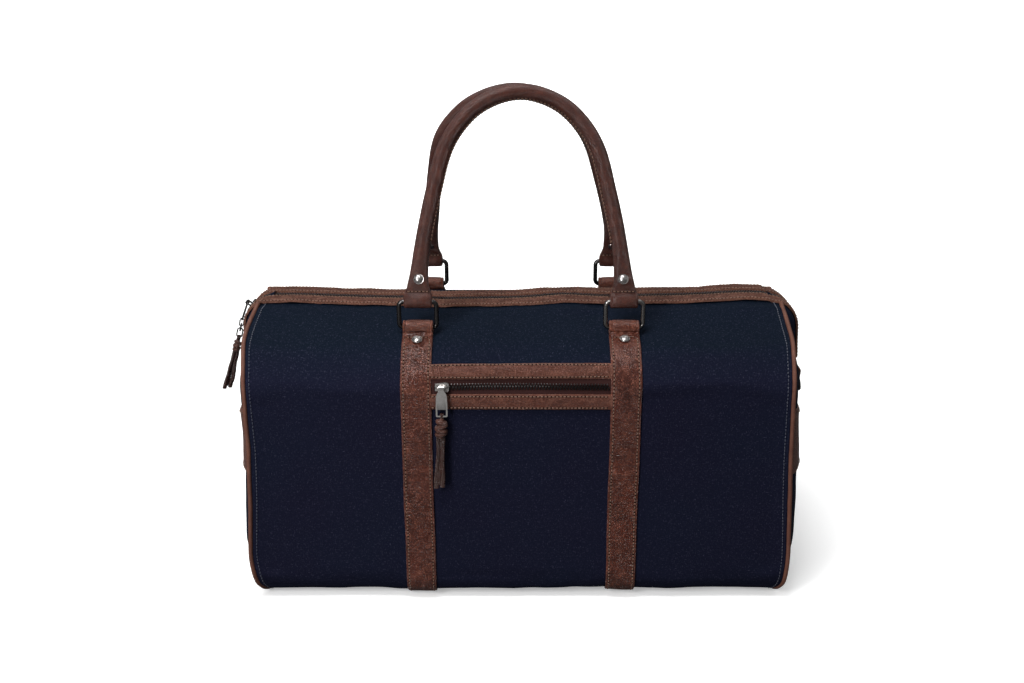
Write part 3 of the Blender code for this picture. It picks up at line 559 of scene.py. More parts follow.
def strip_section(half, thick, groove=None, crown=0.0):
    """Outline (across, height) of a leather strip: rounded edges, pressed stitch lines.

    The last four points are the underside; the others run across the top in ascending order.
    """
    edge = min(0.0009, thick * 0.6)
    left_turn = [math.pi - math.pi / 2 * k / 3 for k in range(4)]
    right_turn = [math.pi / 2 - math.pi / 2 * k / 3 for k in range(4)]
    outline = [(-half + edge + edge * math.cos(a), thick - edge + edge * math.sin(a))
               for a in left_turn]
    stations = list(np.linspace(-half + 0.0016, half - 0.0016, 13))
    if groove:
        for centre in (-groove, groove):
            stations += [centre + offset for offset in (-0.0009, -0.0004, 0, 0.0004, 0.0009)]
    for x in sorted(set(round(x, 6) for x in stations)):
        height = thick + crown * (1 - (x / half) ** 2)
        if groove:
            height -= 0.00032 * math.exp(-((abs(x) - groove) / 0.00045) ** 2)
        outline.append((x, height))
    outline += [(half - edge + edge * math.cos(a), thick - edge + edge * math.sin(a))
                for a in right_turn]
    return np.array(outline + [(half, 0.0), (half * 0.5, 0.0), (-half * 0.5, 0.0), (-half, 0.0)])


# ---------------------------------------------------------------- the body's side profile
def half_outline(inset, y_start, top, shoulder, side, foot, base):
    """(y, z) points from the top round to the middle of the base, inset from the seam.

    The last five arguments are the numbers of stations or steps on each stretch.
    """
    radius = SHOULDER_RADIUS - inset
    crest_y = SHOULDER_Y + radius * math.cos(SHOULDER_ARC)
    crest_z = SHOULDER_Z + radius * math.sin(SHOULDER_ARC)
    points = [(y, crest_z + (crest_y - y) * math.tan(TOP_SLOPE))
              for y in np.linspace(y_start, crest_y, top)]
    for k in range(1, shoulder + 1):
        angle = SHOULDER_ARC * (1 - k / shoulder)
        points.append((SHOULDER_Y + radius * math.cos(angle),
                       SHOULDER_Z + radius * math.sin(angle)))
    points += [(SHOULDER_Y + radius, z) for z in np.linspace(SHOULDER_Z, FOOT_Z, side)[1:]]
    foot_radius = FOOT_RADIUS - inset
    for k in range(1, foot + 1):
        angle = math.pi / 2 * k / foot
        points.append((FOOT_Y + foot_radius * math.cos(angle),
                       FOOT_Z - foot_radius * math.sin(angle)))
    points += [(y, inset) for y in np.linspace(FOOT_Y, 0, base)[1:]]
    return np.array(points)


TOP_STATIONS = 24
PROFILE = half_outline(0.0, y_start=0.0165, top=TOP_STATIONS, shoulder=40, side=40, foot=30,
                       base=20)
PROFILE_LENGTHS = path_lengths(PROFILE)
HALF_LENGTH = PROFILE_LENGTHS[-1]


def side_profile(length):
    """(y, z) at a length from the front zip band's edge round to the back one's."""
    length = np.asarray(length, float)
    front = length <= HALF_LENGTH
    folded = np.where(front, length, 2 * HALF_LENGTH - length)
    y, z = interpolate(folded, PROFILE_LENGTHS, PROFILE)
    return np.where(front, -1.0, 1.0) * y, z


def length_at_y(y):
    """Length down the front to where the top or shoulder reaches |y|."""
    widest = int(np.argmax(PROFILE[:, 0])) + 1
    return float(np.interp(y, PROFILE[:widest, 0], PROFILE_LENGTHS[:widest]))


def length_at_z(z):
    """Length down the front to height z, below the sloping top."""
    heights = PROFILE[TOP_STATIONS:, 1][::-1]
    return float(np.interp(z, heights, PROFILE_LENGTHS[TOP_STATIONS:][::-1]))


# Half length of the bag: height, to the left seam, to the right seam.
SEAMS = np.array([
    (0.0, 0.2420, 0.2420), (0.012, 0.2500, 0.2495), (0.045, 0.2545, 0.2515),
    (0.100, 0.2510, 0.2490), (0.155, 0.2485, 0.2465), (0.205, 0.2490, 0.2450),
    (0.238, 0.2500, 0.2455), (0.252, 0.2530, 0.2475), (0.262, 0.2545, 0.2495),
    (0.270, 0.2510, 0.2490), (0.285, 0.2500, 0.2480),
])
SEAM_HEIGHTS = np.linspace(0, 0.285, 400)
LEFT_SEAM, RIGHT_SEAM = (
    np.convolve(np.pad(np.interp(SEAM_HEIGHTS, SEAMS[:, 0], SEAMS[:, column]), 12, mode="edge"),
                np.ones(25) / 25, "valid")
    for column in (1, 2)
)


def seam_x(z, side):
    """Half length to an end seam: full at the foot and top corners, drawn in between."""
    z, side = np.broadcast_arrays(np.asarray(z, float), np.asarray(side, float))
    return np.where(side > 0, np.interp(z, SEAM_HEIGHTS, RIGHT_SEAM),
                    np.interp(z, SEAM_HEIGHTS, LEFT_SEAM))


# The slack top's rise and fall: x, rise.
WAVE_X, WAVE_RISE = np.array([
    (-0.262, 0.0), (-0.245, 0.0002), (-0.2135, 0.0002), (-0.1555, -0.0020),
    (-0.117, -0.0026), (-0.0686, -0.0040), (0.0, -0.0030), (0.022, -0.0008),
    (0.040, 0.0012), (0.058, 0.0), (0.076, -0.0014), (0.1246, -0.0008),
    (0.173, 0.0006), (0.2116, 0.0030), (0.236, 0.0024), (0.262, 0.0008),
]).T


def wave(x):
    """Rise of the top at x, softened and faded out at both ends."""
    x = np.asarray(x, float)
    rise = np.zeros_like(x)
    for shift, weight in ((-0.014, 0.25), (0.0, 0.5), (0.014, 0.25)):
        rise = rise + weight * np.interp(x + shift, WAVE_X, WAVE_RISE, 0, 0)
    return rise * smoothstep(0.262, 0.235, np.abs(x))


# ---------------------------------------------------------------- the body's cloth
def run_cloth(name, verts, faces, pins, pressure, frames):
    """Inflate an open, pinned sheet and return where its points end up."""
    mesh = bpy.data.meshes.new(name)
    mesh.from_pydata([tuple(v) for v in verts], [], faces)
    obj = link_object(name, mesh)
    group = obj.vertex_groups.new(name="pin")
    for i, weight in enumerate(pins):
        if weight > 0:
            group.add([i], float(weight), "REPLACE")
    cloth = obj.modifiers.new("cloth", "CLOTH")
    settings = cloth.settings
    settings.quality = 6
    settings.mass = 0.25
    settings.tension_stiffness = settings.compression_stiffness = 18.0
    settings.shear_stiffness = settings.tension_stiffness * 0.4
    settings.bending_stiffness = 0.6
    settings.tension_damping = settings.compression_damping = settings.shear_damping = 12
    settings.air_damping = 3.0
    settings.vertex_group_mass = "pin"
    settings.use_pressure = True
    settings.uniform_pressure_force = pressure
    settings.effector_weights.gravity = 0.0
    cloth.collision_settings.use_collision = False
    cloth.collision_settings.use_self_collision = False
    cloth.point_cache.frame_start = 1
    cloth.point_cache.frame_end = frames + 2
    scene = bpy.context.scene
    for number in range(1, frames + 1):
        scene.frame_set(number)
    moved = obj.evaluated_get(bpy.context.evaluated_depsgraph_get())
    points = np.zeros(len(moved.data.vertices) * 3)
    moved.data.vertices.foreach_get("co", points)
    scene.frame_set(1)
    bpy.data.objects.remove(obj, do_unlink=True)
    return points.reshape(-1, 3)


def finer(grid, axis, times):
    """Catmull-Rom refinement along one axis."""
    grid = np.moveaxis(grid, axis, 0)
    padded = np.concatenate([2 * grid[:1] - grid[1:2], grid, 2 * grid[-1:] - grid[-2:-1]])
    out = []
    for k in range(len(grid) - 1):
        p0, p1, p2, p3 = padded[k:k + 4]
        for i in range(times):
            t = i / times
            out.append(0.5 * (2 * p1 + (p2 - p0) * t + (2 * p0 - 5 * p1 + 4 * p2 - p3) * t * t
                              + (3 * p1 - p0 - 3 * p2 + p3) * t ** 3))
    out.append(grid[-1])
    return np.moveaxis(np.array(out), 0, axis)


def body_sheet():
    """Grid of points (row along the profile, column along x) of the filled body."""
    columns, rows = 73, 129
    across = np.linspace(-1, 1, columns)
    lengths = np.linspace(0, 2 * HALF_LENGTH, rows)
    profile_y, profile_z = side_profile(lengths)
    plain = np.zeros((rows, columns, 3))
    plain[:, :, 0] = across * seam_x(profile_z[:, None], across[None])
    plain[:, :, 1] = profile_y[:, None]
    plain[:, :, 2] = profile_z[:, None]

    step_y, step_z = np.gradient(profile_y), np.gradient(profile_z)
    step = np.hypot(step_y, step_z)
    normals = np.stack([step_z / step, -step_y / step], 1)
    if normals[rows // 4, 0] > 0:
        normals = -normals

    # shallow unevenness from which the inflated cloth takes its folds
    offset = np.zeros((rows, columns))
    for i in range(rows):
        for j in range(columns):
            x = plain[i, j, 0]
            low = fractal((x * 9, lengths[i] * 9, 0), 1.0)
            streak = fractal((x * 30, lengths[i] * 7, 0), 2.0, 2)
            offset[i, j] = (0.0022 * low + 0.0009 * streak) * (1 - abs(across[j]) ** 6)
    offset[profile_z < 0.004] *= 0.15
    uneven = plain.copy()
    uneven[:, :, 1:] += normals[:, None] * offset[:, :, None]

    pins = np.zeros((rows, columns))
    pins[:, 0] = pins[:, -1] = 1
    pins[0] = pins[-1] = pins[1] = pins[-2] = 1
    pins[profile_z < 0.0006] = 1
    for sign in (-1, 1):
        # the straps hold the cloth back a little
        near = np.exp(-((plain[:, :, 0] - sign * STRAP_X) / 0.012) ** 2)
        pins = np.maximum(pins, 0.30 * near)
    filled = run_cloth("body_sheet_sim", uneven.reshape(-1, 3), quads(rows, columns),
                       pins.reshape(-1), pressure=2.2, frames=20).reshape(plain.shape)

    # limit how far the cloth moves, and how far it sinks in
    most, deepest = 0.0060, -0.0014
    moved = filled - plain
    distance = np.linalg.norm(moved, axis=2, keepdims=True)
    moved = moved * np.minimum(1.0, most / np.maximum(distance, 1e-9))
    outward = (moved[:, :, 1:] * normals[:, None]).sum(axis=2)
    moved[:, :, 1:] += np.clip(deepest - outward, 0, None)[:, :, None] * normals[:, None]
    body = plain + moved
    on_top = profile_z > 0.2
    near_middle = smoothstep(0.070, 0.030, np.abs(profile_y))[:, None]
    body[:, :, 2] += wave(body[:, :, 0]) * near_middle * on_top[:, None]
    # it dips where the zip bands lie over its edge
    dip = 0.0034 * smoothstep(0.037, 0.0235, np.abs(profile_y)) * on_top
    body[:, :, 2] -= dip[:, None]
    body[:, :, 2] = np.maximum(body[:, :, 2], 0.0004)
    return body


SHEET = finer(finer(body_sheet(), 0, 3), 1, 3)
SHEET_ROWS, SHEET_COLUMNS = SHEET.shape[:2]
SHEET_NORMALS = np.cross(np.gradient(SHEET, axis=1), np.gradient(SHEET, axis=0))
SHEET_NORMALS /= np.linalg.norm(SHEET_NORMALS, axis=2, keepdims=True)
if SHEET_NORMALS[SHEET_ROWS // 4, SHEET_COLUMNS // 2, 1] > 0:
    SHEET_NORMALS = -SHEET_NORMALS


def surface(x, length, height=0.0):
    """Points raised above the sheet at x and a length, and the normals there."""
    x, length = np.broadcast_arrays(np.asarray(x, float), np.asarray(length, float))
    _, z = side_profile(length)
    row = np.clip(length / (2 * HALF_LENGTH), 0, 1) * (SHEET_ROWS - 1)
    column = (np.clip(x / seam_x(z, x), -1, 1) + 1) / 2 * (SHEET_COLUMNS - 1)
    i = np.clip(np.floor(row).astype(int), 0, SHEET_ROWS - 2)
    j = np.clip(np.floor(column).astype(int), 0, SHEET_COLUMNS - 2)
    u, v = (column - j)[..., None], (row - i)[..., None]

    def blend(grid):
        return ((grid[i, j] * (1 - u) + grid[i, j + 1] * u) * (1 - v)
                + (grid[i + 1, j] * (1 - u) + grid[i + 1, j + 1] * u) * v)

    points, normals = blend(SHEET), blend(SHEET_NORMALS)
    normals = normals / np.linalg.norm(normals, axis=-1, keepdims=True)
    return points + normals * np.asarray(height, float)[..., None], normals


def face_length(sign, length):
    """The same place on the front (-1) or the back (1) of the sheet."""
    return length if sign < 0 else 2 * HALF_LENGTH - length


def body_panel(name, first, last, node, outward):
    uvs = np.zeros((SHEET_ROWS, SHEET_COLUMNS, 2))
    uvs[:, :, 0] = SHEET[:, :, 0]
    uvs[:, :, 1] = np.linspace(0, 2 * HALF_LENGTH, SHEET_ROWS)[:, None]
    panel = make(name, SHEET[first:last].reshape(-1, 3), quads(last - first, SHEET_COLUMNS),
                 CANVAS, node=node, slot="canvas", uvs=uvs[first:last].reshape(-1, 2))
    if sum(polygon.normal.dot(Vector(outward)) for polygon in panel.data.polygons) < 0:
        panel.data.flip_normals()
    solidify = panel.modifiers.new("cloth thickness", "SOLIDIFY")
    solidify.thickness = 0.0012
    solidify.offset = -1


BASE_ROW = int(length_at_z(0.0001) / (2 * HALF_LENGTH) * (SHEET_ROWS - 1))
body_panel("canvas_front", 0, BASE_ROW + 1, "front_panel", outward=(0, -1, 0))
body_panel("canvas_base", BASE_ROW, SHEET_ROWS - BASE_ROW, "base_panel", outward=(0, 0, -1))
body_panel("canvas_back", SHEET_ROWS - BASE_ROW - 1, SHEET_ROWS, "back_panel",
           outward=(0, 1, 0))


# ---------------------------------------------------------------- ends
def end_outline(inset, count):
    """Closed, evenly spaced (y, z) outline of an end, inset from the seam."""
    half = half_outline(inset, y_start=0, top=12, shoulder=24, side=30, foot=18, base=12)
    whole = np.concatenate([half, (half * [-1, 1])[::-1][1:-1]])
    loop = np.concatenate([whole, whole[:1]])
    lengths = path_lengths(loop)
    return interpolate(np.linspace(0, lengths[-1], count, endpoint=False), lengths, loop).T


def zip_inner_x(z):
    """How far out the zip band's inner side stands at height z."""
    z = np.asarray(z, float)
    radius = ZIP_RADIUS - 0.0018
    cosine = np.clip((z - ZIP_Z) / radius, -1, 1)
    arc = ZIP_X + radius * np.sqrt(np.clip(1 - cosine * cosine, 0, 1))
    z_end = ZIP_Z + radius * math.cos(ZIP_TURN)
    x_end = ZIP_X + radius * math.sin(ZIP_TURN)
    return np.where(z > z_end, arc, x_end + (z_end - z) / math.tan(ZIP_TURN))


def end_rings(rings, count):
    """(y, z) rings from the seam inward: a rim of true insets, then shrinking copies."""
    seam_inset, rim_width, rim_share = 0.0022, 0.026, 0.22
    centre = np.array([0.0, 0.125])
    inner = end_outline(seam_inset + rim_width, count)
    out = []
    for k in range(rings):
        f = k / (rings - 1)
        if f < rim_share:
            out.append(end_outline(seam_inset + rim_width * f / rim_share, count))
        else:
            shrink = 1 - (f - rim_share) / (1 - rim_share) * 0.985
            out.append(centre + (inner - centre) * shrink)
    return np.array(out)


def end_panel(name, sign):
    """Inflated end; returns a tree for finding its surface."""
    rings, count = 22, 132
    flat = end_rings(rings, count)
    bulge = 0.0140 * np.sin(np.clip(np.linspace(0, 1, rings) / 0.62, 0, 1) * math.pi / 2) ** 0.85
    uneven = np.zeros((rings, count, 3))
    uneven[:, :, 1:] = flat
    uneven[:, :, 0] = seam_x(flat[:, :, 1], sign) + bulge[:, None] + 0.0003
    for k in range(rings):
        fade = math.sin(min(1.0, k / (rings * 0.35)) * math.pi / 2)
        for j in range(count):
            y, z = flat[k, j]
            low = fractal((y * 13, z * 13, 0), 5.0 + sign)
            streak = fractal((y * 40, z * 14, 0), 8.0 + sign, 2)
            uneven[k, j, 0] += fade * (0.0020 * low + 0.0010 * streak)
    pins = np.zeros((rings, count))
    pins[0] = 1
    faces = quads(rings, count, wrap_columns=True)
    faces.append(tuple((rings - 1) * count + j for j in range(count)))
    filled = run_cloth("end_sim_" + name, uneven.reshape(-1, 3), faces, pins.reshape(-1),
                       pressure=2.0, frames=16).reshape(uneven.shape)
    moved = filled - uneven
    if moved[rings // 2:, :, 0].mean() < 0:
        moved = -moved
    distance = np.linalg.norm(moved, axis=2, keepdims=True)
    points = uneven + moved * np.minimum(1, 0.0035 / np.maximum(distance, 1e-9))
    # the zip band pulls the top of the end out to meet it
    y, z = points[:, :, 1], points[:, :, 2]
    near = smoothstep(0.046, 0.022, np.abs(y)) * smoothstep(0.204, 0.222, z)
    points[:, :, 0] = points[:, :, 0] * (1 - near) + (zip_inner_x(z) - 0.0008) * near
    points[:, :, 2] = np.maximum(z, 0.0006)
    points[:, :, 0] *= sign
    verts = points.reshape(-1, 3)
    panel = make("canvas_end_" + name, verts, faces, CANVAS, node="end_panel_" + name,
                 slot="canvas", uvs=flat.reshape(-1, 2))
    if sum(p.normal.x * p.area for p in panel.data.polygons) * sign < 0:
        panel.data.flip_normals()
    subsurf = panel.modifiers.new("smooth", "SUBSURF")
    subsurf.levels = subsurf.render_levels = 1
    return BVHTree.FromPolygons([Vector(v) for v in verts], faces)


END_TREES = {sign: end_panel(name, sign) for name, sign in ENDS}


def end_x(sign, y, z):
    """x of an end's surface; the seam's x where a ray misses the panel."""
    hit = END_TREES[sign].ray_cast(Vector((sign * 0.5, y, z)), Vector((-sign, 0, 0)))[0]
    return sign * float(seam_x(z, sign)) if hit is None else hit.x


# ---------------------------------------------------------------- piping and seam stitches
def piping(name, sign):
    """Cord round the end seam, open under the zip."""
    kept = [(y, z) for y, z in end_outline(0.0004, 260) if not (abs(y) < 0.0262 and z > 0.2)]
    start = max(range(len(kept)), key=lambda k: math.dist(kept[k], kept[k - 1]))
    kept = kept[start:] + kept[:start]
    points, radii = [], []
    for y, z in kept:
        wobble = 0.0005 * fractal((y * 22, z * 22, 1), 3.0 + sign, 2)
        x = sign * (float(seam_x(z, sign)) + 0.0012 + wobble)
        points.append((x, y * 1.004, max(z + 0.0004, 0.0026)))
        radii.append(0.00200 + 0.00015 * fractal((y * 60, z * 60, 2), 4.0, 2))
    cord = Shapes()
    cord.tube(points, radii, sides=12)
    cord.finish("piping_cord_" + name, PIPING, node="piping_" + name)


def seam_stitches():
    threads = Shapes()
    for sign in (-1, 1):
        for length in steps(0.006, 2 * HALF_LENGTH - 0.006, STITCH_PITCH):
            inset = 0.0048 + 0.0004 * math.sin(length * 37)
            (start, normal), (end, _) = (
                surface(sign * (float(seam_x(side_profile(t)[1], sign)) - inset), t, 0.0001)
                for t in (length, length + 0.0022))
            if start[2] > 0.004:
                threads.stitch(start, end, normal, FINE_THREAD_RADIUS)
    threads.finish("seam_stitches", NAVY_THREAD, slot="canvas")


for end_name, end_sign in ENDS:
    piping(end_name, end_sign)
seam_stitches()

# ---------------------------------------------------------------- straps
# Domed stud: radius, height.
STUD = [(0.0001, 0.00190), (0.0012, 0.00182), (0.0024, 0.00150), (0.0034, 0.00095),
        (0.0040, 0.00045), (0.0041, 0.00020), (0.0046, 0.00030), (0.00475, 0.00010),
        (0.0047, -0.0004), (0.0001, -0.0004)]
STUD_FROM_BAR = (SHOULDER_RADIUS * (SHOULDER_ARC - math.radians(68))
                 + (SHOULDER_Y + SHOULDER_RADIUS * math.cos(SHOULDER_ARC) - RING_Y) - 0.0050)
RING_LENGTH = length_at_y(RING_Y)
TURN_ROWS = 22  # stations of a strap round its ring's bar, before those on the cloth


def strap_base(x_centre, sign, seed, widths):
    """Underside of a strap: round the ring's bar, then down the body to the base."""
    rows = []
    for angle in np.radians(np.linspace(250, -38, TURN_ROWS)):
        y, z = RING_Y + 0.0037 * math.cos(angle), RING_Z + 0.0037 * math.sin(angle)
        rows.append(np.stack([x_centre + widths, np.full_like(widths, sign * y),
                              np.full_like(widths, z)], 1))
    lengths = np.concatenate([
        np.linspace(RING_LENGTH + 0.0082, RING_LENGTH + 0.05, 30),
        np.linspace(RING_LENGTH + 0.05, length_at_z(0.0035), 130)[1:]])
    # it lies over its own folded end near the ring
    heights = (0.0010 * smoothstep(RING_LENGTH + 0.034, RING_LENGTH + 0.024, lengths)
               - 0.0009 * np.exp(-((lengths - RING_LENGTH - 0.0085) / 0.0016) ** 2) + 0.0003)
    for length, height in zip(lengths, heights):
        wander = 0.0009 * fractal((length * 9, 0, 0), seed, 2)
        widen = 1 + 0.02 * fractal((length * 14, 3, 0), seed, 2)
        bent = math.exp(-((length - RING_LENGTH - 0.138) / 0.026) ** 2) + 0.15
        crease = 0.00085 * fractal((length * 150, 0.3, 0), seed + 2, 3) * bent
        ripple = 0.0003 * fractal((length * 60, 1, 0), seed, 2)
        points, _ = surface(x_centre + wander + widths * widen, face_length(sign, length),
                            height + crease + ripple)
        rows.append(points)
    base = np.array(rows)
    # ease the hand-over from the ring's bar to the cloth
    first, last = TURN_ROWS - 1, TURN_ROWS + 2
    base[first:last] = (base[first - 1:last - 1] + 2 * base[first:last]
                        + base[first + 1:last + 1]) / 4
    return base


def strap_fold(name, x_centre, sign):
    """The folded-back end under a strap."""
    widths, heights = strip_section(0.0134, 0.0017).T
    rings = []
    for length in np.linspace(RING_LENGTH - 0.002, RING_LENGTH + 0.031, 12):
        points, normals = surface(x_centre + widths, face_length(sign, length), 0.0002)
        rings.append(points + normals * heights[:, None])
    fold = Shapes()
    fold.loft(rings)
    fold.finish(name, EDGE)


def strap(face, face_sign, end, end_sign):
    name = f"strap_leather_{face}_{end}"
    x_centre = end_sign * STRAP_X
    stitch_line = 0.0113
    widths, heights = strip_section(0.0139, 0.0018, groove=stitch_line, crown=0.0004).T
    base = strap_base(x_centre, face_sign, 11.0 + end_sign + 3 * face_sign, widths)
    normals = np.cross(np.gradient(base, axis=0), np.array([1.0, 0, 0])[None, None])
    normals /= np.linalg.norm(normals, axis=2, keepdims=True)
    if normals[60, 0, 1] * face_sign < 0:
        normals = -normals
    fullness = np.ones(len(base))
    fullness[:TURN_ROWS - 1] = 1.55
    verts = base + normals * (heights[None, :, None] * fullness[:, None, None])
    rows, columns = verts.shape[:2]
    caps = [tuple(range(columns)), tuple((rows - 1) * columns + j for j in range(columns))]
    make(name, verts.reshape(-1, 3), quads(rows, columns, wrap_columns=True) + caps, LEATHER,
         node=f"strap_{face}_{end}", sharp=60)
    strap_fold(name + "_fold", x_centre, face_sign)

    lengths = path_lengths(base[:, columns // 2])

    def on_top(length, across):
        """Point on the strap's top, and the normal there."""
        row = float(np.interp(length, lengths, np.arange(rows)))
        k = int(row)
        here, after = (interpolate(across, widths[:-4], verts[i, :-4])
                       for i in (k, min(k + 1, rows - 1)))
        return here * (1 - (row - k)) + after * (row - k), normals[k, 0]

    threads = Shapes()
    for across in (-stitch_line, stitch_line):
        for length in steps(lengths[TURN_ROWS + 3], lengths[-1] - 0.002, STITCH_PITCH, 0.0024):
            start, normal = on_top(length, across)
            threads.stitch(start, on_top(length + STITCH_LENGTH, across)[0], normal)
    cross_row = lengths[TURN_ROWS + 2]
    for across in steps(-0.0100, 0.0095, 0.0033):
        start, normal = on_top(cross_row, across)
        threads.stitch(start, on_top(cross_row, across + STITCH_LENGTH)[0], normal)
    threads.finish_stitches(name + "_stitches")

    point, normal = on_top(float(lengths[TURN_ROWS]) + STUD_FROM_BAR, 0.0)
    stud = lathe(STUD, Vector(point) + Vector(normal) * 0.0015, normal)
    stud.finish(f"strap_stud_{face}_{end}", NICKEL, node=f"strap_rivet_{face}_{end}",
                slot="nickel", sharp=45)


# ---------------------------------------------------------------- rings
def ring(face, face_sign, end, end_sign):
    """Rectangular wire ring with rounded corners."""
    half, corner = RING_WIDTH / 2, 0.0042
    corners = [(half - corner, RING_HEIGHT - corner, 0), (-half + corner, RING_HEIGHT - corner, 90),
               (-half + corner, corner, 180), (half - corner, corner, 270)]
    points = []
    for across, up, start in corners:
        for k in range(9):
            angle = math.radians(start + 90 * k / 8)
            points.append((end_sign * STRAP_X + across + corner * math.cos(angle),
                           RING_Y * face_sign, RING_Z + up + corner * math.sin(angle)))
    wire = Shapes()
    wire.closed_tube(points, 0.00215, (0, 1, 0), sides=18)
    # the front right ring gets a lighter copy of the gunmetal
    metal = GUNMETAL_LIGHTER if (face, end) == ("front", "right") else GUNMETAL
    wire.finish(f"ring_wire_{face}_{end}", metal, face + "_rings", f"ring_{face}_{end}",
                "gunmetal")


for build in (strap, ring):
    for face_name, face_sign in FACES:
        for end_name, end_sign in ENDS:
            build(face_name, face_sign, end_name, end_sign)

# ---------------------------------------------------------------- handles
# One half of the arch: x, height above the rings' top bars.
ARCH = [(0.0945, 0.0), (0.0940, 0.020), (0.0900, 0.055), (0.0810, 0.100), (0.0695, 0.143),
        (0.0500, 0.172), (0.0265, 0.188), (0.0, 0.1940)]
# Section: height, half width in the arch's plane, half thickness across it.
HANDLE_SECTION = np.array([
    (-0.0058, 0.0116, 0.0008), (-0.0054, 0.0122, 0.0026), (-0.0044, 0.0128, 0.0041),
    (-0.0022, 0.0132, 0.0054), (0.0002, 0.0133, 0.0059), (0.0028, 0.0133, 0.0056),
    (0.0050, 0.0131, 0.0047), (0.0070, 0.0127, 0.0035), (0.0084, 0.0122, 0.0027),
    (0.0100, 0.0115, 0.0027), (0.0112, 0.0110, 0.0033), (0.0135, 0.0102, 0.0038),
    (0.0170, 0.0095, 0.0041), (0.0205, 0.0090, 0.0042), (0.026, 0.0084, 0.0049),
    (0.033, 0.0079, 0.0060), (0.040, 0.0076, 0.0069), (0.052, 0.0073, 0.0073),
])
TAB_HEIGHTS = [-0.0058, -0.0054, -0.0044, -0.0022, 0.0002, 0.0028, 0.0050, 0.0070, 0.0084,
               0.0092, 0.0100, 0.0112, 0.0135, 0.0170]
HANDLE_LEAN = math.atan2(0.068, 0.191)


def spline(points, per_span):
    """Catmull-Rom curve through 2-D points."""
    points = [points[0] * 2 - points[1]] + points + [points[-1] * 2 - points[-2]]
    out = []
    for k in range(1, len(points) - 2):
        p0, p1, p2, p3 = points[k - 1:k + 3]
        for i in range(per_span):
            t = i / per_span
            out.append(0.5 * ((2 * p1) + (p2 - p0) * t + (2 * p0 - 5 * p1 + 4 * p2 - p3) * t * t
                              + (3 * p1 - p0 - 3 * p2 + p3) * t ** 3))
    out.append(points[-2])
    return out


def handle_path(is_back):
    """Points (x, height) from the right tab over the arch to the left one."""
    points = [Vector(p) for p in ARCH] + [Vector((-x, h)) for x, h in reversed(ARCH[:-1])]
    if is_back:
        # the back handle has fallen a little wider and to the left
        for point in points:
            amount = float(smoothstep(0.040, 0.150, point.y))
            point.x = point.x * (1 + 0.035 * amount) - 0.0055 * amount
            point.y *= 1 - 0.008 * amount
    arch = spline(points, 9)
    return ([Vector((arch[0].x, h)) for h in TAB_HEIGHTS]
            + [p for p in arch if p.y > 0.0185]
            + [Vector((arch[-1].x, h)) for h in reversed(TAB_HEIGHTS)])


def section_at(height):
    return map(float, interpolate(height, HANDLE_SECTION[:, 0], HANDLE_SECTION[:, 1:]))


def handle_stations(path):
    """(point, outward in the arch's plane, half width, half thickness) along the path."""
    last = len(path) - 1
    stations = []
    for k, point in enumerate(path):
        along = (path[min(k + 1, last)] - path[max(k - 1, 0)]).normalized()
        if point.y < 0.0175:
            along = Vector((0, 1)) if k < len(path) / 2 else Vector((0, -1))
        stations.append((point, Vector((along.y, -along.x)), *section_at(point.y)))
    return stations


def handle_ring(place, sign, point, outward, half_width, half_thick):
    squareness = 2.0 + max(0.0, (0.0068 - half_thick) / 0.0034) * 1.8
    swell = 1 + 0.018 * fractal((point.x * 30, point.y * 30, sign), 21.0, 2)
    out = []
    for angle in turns(36):
        c, s = (math.copysign(abs(value) ** (2 / squareness), value)
                for value in (math.cos(angle), math.sin(angle)))
        seam = 1.0
        if point.y > 0.050:
            # two rolls of leather meet in a groove along the inside of the arch
            off = abs(angle - math.pi)
            seam += (0.05 * math.exp(-((off - 0.20) / 0.13) ** 2)
                     - 0.13 * math.exp(-(off / 0.09) ** 2))
        reach, thick = half_width * c * swell * seam, half_thick * s * swell * seam
        out.append(place @ Vector((point.x + outward.x * reach, thick,
                                   point.y + outward.y * reach)))
    return out


def handle_stitches(face, place, stations):
    threads = Shapes()
    turn = place.to_3x3()
    # a line on each side of the closing groove
    for off in (-0.36, 0.36):
        c, s = math.cos(math.pi + off), math.sin(math.pi + off)
        points, normals = [], []
        for point, outward, half_width, half_thick in stations:
            if point.y > 0.052:
                reach = half_width * 1.03 * c
                points.append(place @ Vector((point.x + outward.x * reach, half_thick * 1.03 * s,
                                              point.y + outward.y * reach)))
                normals.append(turn @ Vector((outward.x * c, s, outward.y * c)))
        lengths = path_lengths(np.array(points))
        for length in steps(0.0, lengths[-1], 0.0036, margin=0.003):
            threads.stitch(interpolate(length, lengths, points),
                           interpolate(length + 0.0026, lengths, points),
                           interpolate(length, lengths, normals), FINE_THREAD_RADIUS)
    # a row across both faces of each tab
    row_height = 0.0092
    _, half_thick = section_at(row_height)
    for end_sign in (-1, 1):
        for side in (-1, 1):
            for across in steps(-0.0100, 0.0112 - 0.002, STITCH_PITCH):
                start, end = (
                    place @ Vector((end_sign * 0.0942 + w, side * (half_thick + 0.00025),
                                    row_height))
                    for w in (across, across + STITCH_LENGTH))
                threads.stitch(start, end, turn @ Vector((0, side, 0)), TAB_THREAD_RADIUS)
    threads.finish_stitches(f"handle_stitches_{face}", face + "_handle", "dark_leather")


